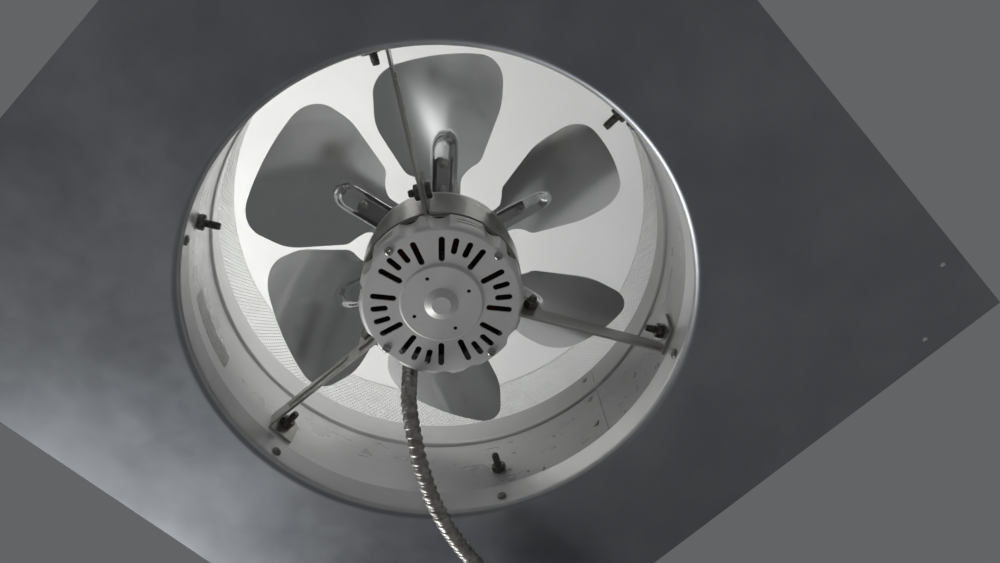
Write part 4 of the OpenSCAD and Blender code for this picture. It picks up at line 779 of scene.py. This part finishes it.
for angle in leg_dirs:
    leg_turn = Matrix.Rotation(math.radians(angle), 3, "Z")
    across_arm = leg_turn @ arm_turn @ Vector((0, -1, 0))
    head_seat = leg_turn @ (arm_start + arm_turn @ Vector((clamp_along, clamp_head_y, clamp_z)))
    nut_seat = leg_turn @ (arm_start + arm_turn @ Vector((clamp_along, clamp_nut_y, clamp_z)))
    clamp_bolts.append(laid(clamp_bolt, head_seat, across_arm, spin=0.4))
    clamp_nuts.append(laid(clamp_nut, nut_seat, across_arm, spin=0.2))
fastener_set("clamp_bolt_set", clamp_bolts, dark_bolt, "clamp_bolts")
fastener_set("clamp_nut_set", clamp_nuts, dark_bolt, "clamp_nuts")

# Fan hub
# A bushing pressed into a round plate with six arms, one under each blade, held on the shaft's flat by a
# socket set screw.
hub_zinc = zinc_sheet("hub_zinc", (0.2, 0.2, 0.2), (0.34, 0.34, 0.335), metal=0.9,
                      rough=(0.28, 0.42), spangle=200, share=0.08, stretch=(6, 6, 6), bump=0.06)
dress(hub_zinc, "fan_hub")
dress(screw_zinc, "hub_setscrew")

# Fan blades
# Six blades pressed from thin bright aluminium sheet. Each is dished and twisted a few millimetres out
# of flat, and a round-ended channel along its root stiffens it and takes the hub's arm.
blade_sheet, tree, shader = finish_of("blade_sheet", (0.66, 0.665, 0.67), metal=0.97, rough=0.18)
rolled = blended(tree, 0.35, cloud_on(tree, 9.0, 5.0), cloud_on(tree, 90.0, 4.0))
color_by(tree, shader, rolled, (0.62, 0.625, 0.628), (0.7, 0.705, 0.71))
tree.links.new(spread_to(tree, rolled, 0.15, 0.21, 0.3, 0.7), shader.inputs["Roughness"])
relief_on(tree, shader, cloud_on(tree, 14.0, 3.0), 0.03, 0.002)
blade_z = 108.7
blade_tilt = Matrix.Rotation(math.radians(-4.2), 3, "Y") @ Matrix.Rotation(math.radians(32.2), 3, "X")
blade_normal = blade_tilt @ Vector((0, 0, 1))
blade_flat = Matrix(((blade_tilt[0][0], blade_tilt[0][1]), (blade_tilt[1][0], blade_tilt[1][1]))).inverted()
fan_r = 164.6
dish_turn = math.radians(5.5)
dish_bow, dish_twist, level_at = 0.00098, 0.00091, 112
half_sheet = 0.5
channel_h = 5
channel_top_w, channel_floor_w, channel_end = 12, 7.5, 102
root_x, root_w = 45, 14
trail_x, trail_w, trail_corner_r = 138.4, 56.3, 22
lead_x, lead_w, lead_corner_r = 136.9, 47.5, 26
trail_turn, lead_turn = -13.92, 8.93


def arc(cx, cy, r, start, end, steps):
    """Points along an arc, with its angles in degrees."""
    turn = [math.radians(start + (end - start) * i / steps) for i in range(steps + 1)]
    return [(cx + r * math.cos(a), cy + r * math.sin(a)) for a in turn]


def eased(corners, share=0.45, steps=6):
    """A line of points whose inner corners are rounded over a share of their shorter side."""
    line = [corners[0]]
    for before, here, after in zip(corners, corners[1:], corners[2:]):
        here = Vector(here)
        reach = share * min((Vector(before) - here).length, (Vector(after) - here).length)
        start = here + (Vector(before) - here).normalized() * reach
        stop = here + (Vector(after) - here).normalized() * reach
        for i in range(steps + 1):
            t = i / steps
            line.append(tuple((1 - t) ** 2 * start + 2 * t * (1 - t) * here + t * t * stop))
    return line + [corners[-1]]


trail_knees = [(root_x, -root_w), (62, -root_w), (68.4, -22.7), (72, -30.5), (114, -54.9),
               (trail_x, -trail_w)]
lead_knees = [(lead_x, lead_w), (118.5, 47.2), (73.5, 30.5), (69.5, 21), (62, root_w), (root_x, root_w)]
blade_plan = eased(trail_knees)
blade_plan += arc(trail_x, trail_corner_r - trail_w, trail_corner_r, -90, trail_turn, 14)[1:]
blade_plan += arc(0, 0, fan_r, trail_turn, lead_turn, 16)[1:]
blade_plan += arc(lead_x, lead_w - lead_corner_r, lead_corner_r, lead_turn, 90, 14)[1:]
blade_plan += eased(lead_knees)[1:]


def blade_point(x, y, skin):
    """A point of the pressed sheet over plan point x, y, on its lower (-1) or upper (+1) skin."""
    along = x * math.cos(dish_turn) - y * math.sin(dish_turn)
    across = x * math.sin(dish_turn) + y * math.cos(dish_turn)
    dish = dish_bow * across ** 2 + dish_twist * (along - level_at) * across
    u, v = blade_flat @ Vector((x, y))
    end_mid = channel_end - channel_top_w
    off = math.hypot(max(0.0, u - end_mid), v)
    pressed = min(1.0, max(0.0, (channel_top_w - off) / (channel_top_w - channel_floor_w)))
    pressed = pressed * pressed * (3 - 2 * pressed)
    z = blade_z - (blade_normal.x * x + blade_normal.y * y) / blade_normal.z + dish * (1 - pressed)
    return Vector((x, y, z)) + (channel_h * pressed + skin * half_sheet) * blade_normal


sheet = bmesh.new()
sheet.faces.new([sheet.verts.new((x, y, 0)) for x, y in blade_plan])
cell, fine_cell = 3, 1.1
cuts = [(Vector((x, 0, 0)), Vector((1, 0, 0))) for x in range(48, 164, cell)]
cuts += [(Vector((0, fine_cell * k, 0)), Vector((0, 1, 0))) for k in range(-12, 13)]
cuts += [(Vector((0, side * y, 0)), Vector((0, 1, 0))) for y in range(16, 57, cell) for side in (-1, 1)]
for cut_at, cut_along in cuts:
    whole = sheet.verts[:] + sheet.edges[:] + sheet.faces[:]
    bmesh.ops.bisect_plane(sheet, geom=whole, dist=0.0001, plane_co=cut_at, plane_no=cut_along)
sheet.verts.index_update()
plan_points = [(v.co.x, v.co.y) for v in sheet.verts]
plan_faces = [tuple(v.index for v in face.verts) for face in sheet.faces]
plan_edge = [(loop.vert.index, loop.link_loop_next.vert.index) for face in sheet.faces for loop in face.loops
             if loop.edge.is_boundary]
sheet.free()
count = len(plan_points)
blade_faces = [face[::-1] for face in plan_faces] + [tuple(i + count for i in face) for face in plan_faces]
blade_faces += [(i, j, j + count, i + count) for i, j in plan_edge]
blade_form = [blade_point(x, y, -1) for x, y in plan_points] + [blade_point(x, y, 1) for x, y in plan_points]
first_blade = -12.9
rivets_at = 54, 76.5
stem_r, stem_foot, stem_top = 2.4, 1.4, 5.55
blade_rivet_head = domed_head(4.08, 1.5, 0.1)
blade_rivet_stem = turned([(stem_r, stem_foot), (stem_r, stem_top)], screw_steps)
forms = []
for k in range(6):
    blade_turn = Matrix.Rotation(math.radians(first_blade + 60 * k), 3, "Z")
    verts = [tuple(blade_turn @ point) for point in blade_form]
    number = str(k + 1)
    solid_piece("dished_blade_" + number, verts, blade_faces, "fan", blade_sheet, "blade_" + number,
                crease=50, slot="fan_metal")
    along_rivet = blade_turn @ blade_normal
    for x in rivets_at:
        seat = blade_turn @ (Vector((0, 0, blade_z)) + blade_tilt @ Vector((x, 0, 0)))
        forms.append(laid(blade_rivet_head, seat + along_rivet * stem_foot, -along_rivet))
        forms.append(laid(blade_rivet_stem, seat, along_rivet))
        forms.append(laid(blade_rivet_head, seat + along_rivet * stem_top, along_rivet))
fastener_set("blade_rivet_set", forms, rivet_metal, "blade_rivets", body="fan")

# Conduit and its connectors
# Flexible metal conduit: galvanised strip wound into interlocked turns over a 9 mm bore. It leaves the
# motor straight down, bends away and runs out under the throat's edge to the thermostat box.
fitting_zinc = zinc_sheet("fitting_zinc", (0.28, 0.28, 0.275), (0.42, 0.42, 0.41), metal=0.85,
                          rough=(0.35, 0.5), spangle=300, share=0.1, stretch=(5, 5, 5), bump=0.1)
dress(fitting_zinc, "motor_connector", "motor_locknut", "box_connector", "box_locknut")
conduit_route = [
    (29.3, 65.8, 62), (29.3, 65.8, 54), (29.3, 65.8, 46), (29.3, 65.8, 37), (29.3, 65.8, 26),
    (30, 66.5, 14), (31.5, 68, 2.5), (34.5, 71, -8.5), (39.5, 74, -19), (45.5, 77.5, -28.5),
    (53, 81.5, -36.5), (61.5, 86.5, -43.5), (71, 91, -49), (81, 96, -53), (91.5, 100.5, -56),
    (102.5, 104.5, -58), (113.5, 108.5, -58.5), (125, 112, -58.5), (136, 115, -58), (147.5, 118, -57),
    (159, 120.5, -55.5), (170.5, 123, -54.5), (182.5, 124.5, -53.5), (194, 125.5, -53),
    (206, 126, -52.5), (212, 126, -52.5),
]
route = [Vector(p) for p in conduit_route]


def on_route(i, t):
    """A point of the smooth curve through the route, at share t of the way from its point i to the next."""
    p0, p1, p2, p3 = (route[max(0, min(len(route) - 1, i + k))] for k in (-1, 0, 1, 2))
    bend, swing = 2 * p0 - 5 * p1 + 4 * p2 - p3, 3 * p1 - p0 - 3 * p2 + p3
    return 0.5 * (2 * p1 + (p2 - p0) * t + bend * t * t + swing * t ** 3)


parts_per_step = 16
middle = [on_route(i, k / parts_per_step) for i in range(len(route) - 1) for k in range(parts_per_step)]
middle.append(route[-1])
run = [0.0]
for a, b in zip(middle, middle[1:]):
    run.append(run[-1] + (b - a).length)
conduit_length = run[-1]


def along_conduit(s):
    """The point of the conduit's middle line at a distance along it."""
    s = min(max(s, 0.0), conduit_length)
    low, high = 0, len(run) - 1
    while high - low > 1:
        half = (low + high) // 2
        low, high = (half, high) if run[half] <= s else (low, half)
    t = (s - run[low]) / (run[high] - run[low])
    return middle[low].lerp(middle[high], t)


conduit_r, bore_r, bore_seen = 6.35, 4.5, 6
nominal_pitch = 6.45
turn_pitch = conduit_length / int(conduit_length / nominal_pitch)
groove_in, crest_in, lip_in = 1.05, 0.1, 0.65
rise_to, crest_to, fall_to, groove_to, lip_at = 0.08, 0.46, 0.56, 0.72, 0.8


def strip_profile(phase):
    """How far the strip stands in from the outside over one turn: crest, groove and lip."""
    phase %= 1.0
    if phase < rise_to:
        return groove_in - (groove_in - crest_in) * math.sin(phase / rise_to * math.pi / 2)
    if phase < crest_to:
        return crest_in - crest_in * math.sin((phase - rise_to) / (crest_to - rise_to) * math.pi)
    if phase < fall_to:
        bend = (phase - crest_to) / (fall_to - crest_to) * math.pi / 2
        return crest_in + (groove_in - crest_in) * (1 - math.cos(bend))
    if phase < groove_to:
        return groove_in
    if phase < lip_at:
        bend = (phase - groove_to) / (lip_at - groove_to) * math.pi / 2
        return groove_in - (groove_in - lip_in) * math.sin(bend)
    return lip_in + (groove_in - lip_in) * (phase - lip_at) / (1 - lip_at)


per_turn, facets = 16, 28
rings = int(conduit_length / turn_pitch * per_turn)
verts, faces = [], []
across_route = Vector((-0.55, 0.83, 0)).normalized()
plain_in, plain_end = 1.0, 2.0


def conduit_cross(s):
    """Two directions across the conduit at a distance along it."""
    heading = (along_conduit(s + 0.8) - along_conduit(s - 0.8)).normalized()
    u = heading.cross(across_route).normalized()
    return u, heading.cross(u)


for i in range(rings + 1):
    s = conduit_length * i / rings
    u, v = conduit_cross(s)
    wound = min(1.0, s / plain_end, (conduit_length - s) / plain_end)
    for j in range(facets):
        a = 2 * math.pi * j / facets
        sunk = strip_profile(s / turn_pitch + j / facets)
        r = conduit_r - (plain_in + (sunk - plain_in) * wound)
        verts.append(tuple(along_conduit(s) + r * (math.cos(a) * u + math.sin(a) * v)))
for i in range(rings):
    for j in range(facets):
        k = (j + 1) % facets
        faces.append((i * facets + j, i * facets + k, (i + 1) * facets + k, (i + 1) * facets + j))
for end, depth in ((0, bore_seen), (rings, -bore_seen)):
    s = conduit_length * end / rings
    u, v = conduit_cross(s)
    base = len(verts)
    for reach in (0.0, depth):
        for j in range(facets):
            a = 2 * math.pi * j / facets
            verts.append(tuple(along_conduit(s + reach) + bore_r * (math.cos(a) * u + math.sin(a) * v)))
    for j in range(facets):
        k = (j + 1) % facets
        rim = (end * facets + j, end * facets + k, base + k, base + j)
        bore = (base + j, base + k, base + facets + k, base + facets + j)
        faces += [rim[::-1], bore[::-1]] if end == 0 else [rim, bore]
    floor_ring = tuple(range(base + facets, base + 2 * facets))
    faces.append(floor_ring[::-1] if end == 0 else floor_ring)
conduit_strip, tree, shader = finish_of("conduit_strip", (0.25, 0.24, 0.22), metal=0.95, rough=0.26)
dull = cloud_on(tree, 130.0, 6.0)
color_by(tree, shader, dull, (0.24, 0.226, 0.205), (0.6, 0.585, 0.56))
tree.links.new(spread_to(tree, dull, 0.44, 0.3, 0.3, 0.7), shader.inputs["Roughness"])
conduit = solid_piece("wound_conduit", verts, faces, "frame", conduit_strip, "conduit", crease=50,
                      slot="conduit_metal")

# Thermostat box, switch and cover
# A pressed steel outlet box with round knockouts holds the thermostat. A plated cover closes it with two
# screws, and painted marks on the cover stand around the dial.
box_zinc = zinc_sheet("box_zinc", (0.4, 0.405, 0.41), (0.56, 0.565, 0.57), metal=0.8,
                      rough=(0.28, 0.45), spangle=110, share=0.12, stretch=(2, 2, 2), bump=0.06)
dress(box_zinc, "thermostat_box", "box_cover")
switch_black, tree, shader = finish_of("switch_black", (0.02, 0.02, 0.022), metal=0.0, rough=0.45)
color_by(tree, shader, cloud_on(tree, 200.0), (0.015, 0.015, 0.017), (0.03, 0.03, 0.032))
dress(switch_black, "thermostat_body")
box_x, box_y, cover_face_z = 271, 126, -77.75
cover_screw_x, cover_screw_r, cover_screw_end = 44, 1.8, 12
cover_thread = thread_points(cover_screw_r, 0.6, 11.2, pitch=0.8, depth=0.3)
cover_shank = turned([(0.001, 0), (cover_screw_r, 0), *cover_thread, (1.2, cover_screw_end),
                      (0.001, cover_screw_end)], screw_steps)
forms = []
for x in (box_x - cover_screw_x, box_x + cover_screw_x):
    seat = (x, box_y, cover_face_z - face_gap)
    forms.append(laid(pan_head(r=3.4, h=1.8), seat, (0, 0, -1), random.uniform(0, 1.5)))
    forms.append(laid(cover_shank, (x, box_y, cover_face_z), (0, 0, 1)))
fastener_set("cover_screw_set", forms, screw_zinc, "cover_screws", crease=42)
mark_paint, tree, shader = finish_of("mark_paint", (0.03, 0.03, 0.03), metal=0.0, rough=0.5)
color_by(tree, shader, cloud_on(tree, 300.0), (0.025, 0.025, 0.025), (0.05, 0.05, 0.05))
first_mark, mark_step, mark_count = -45, 27, 11
mark_t, mark_from, mark_point = 0.2, 16.8, 0.3
forms = []
for k in range(mark_count):
    mark_to, half_w = (21.5, 0.55) if k % 5 == 0 else (19.5, 0.4)
    ring = [(mark_from, -half_w), (mark_to, -half_w), (mark_to + mark_point, 0), (mark_to, half_w),
            (mark_from, half_w)]
    corners = [around(first_mark + mark_step * k, x, 0, y) for x, y in ring]
    low = [(box_x + corner[0], box_y + corner[1], cover_face_z - mark_t) for corner in corners]
    high = [(box_x + corner[0], box_y + corner[1], cover_face_z) for corner in corners]
    sides = [(i, (i + 1) % 5, 5 + (i + 1) % 5, 5 + i) for i in range(5)]
    forms.append((low + high, [(4, 3, 2, 1, 0), (5, 6, 7, 8, 9)] + sides))
solid_piece("dial_marks", *gathered(forms), "frame", mark_paint, slot="box_steel")

# Thermostat dial
# A moulded ivory knob with a scalloped rim and a pointer groove, pressed on the thermostat's stem.
ivory, tree, shader = finish_of("ivory", (0.75, 0.7, 0.56), metal=0.0, rough=0.3)
color_by(tree, shader, cloud_on(tree, 60.0), (0.72, 0.67, 0.53), (0.79, 0.74, 0.61))
relief_on(tree, shader, cloud_on(tree, 500.0), 0.05, 0.0002)
dress(ivory, "thermostat_dial")
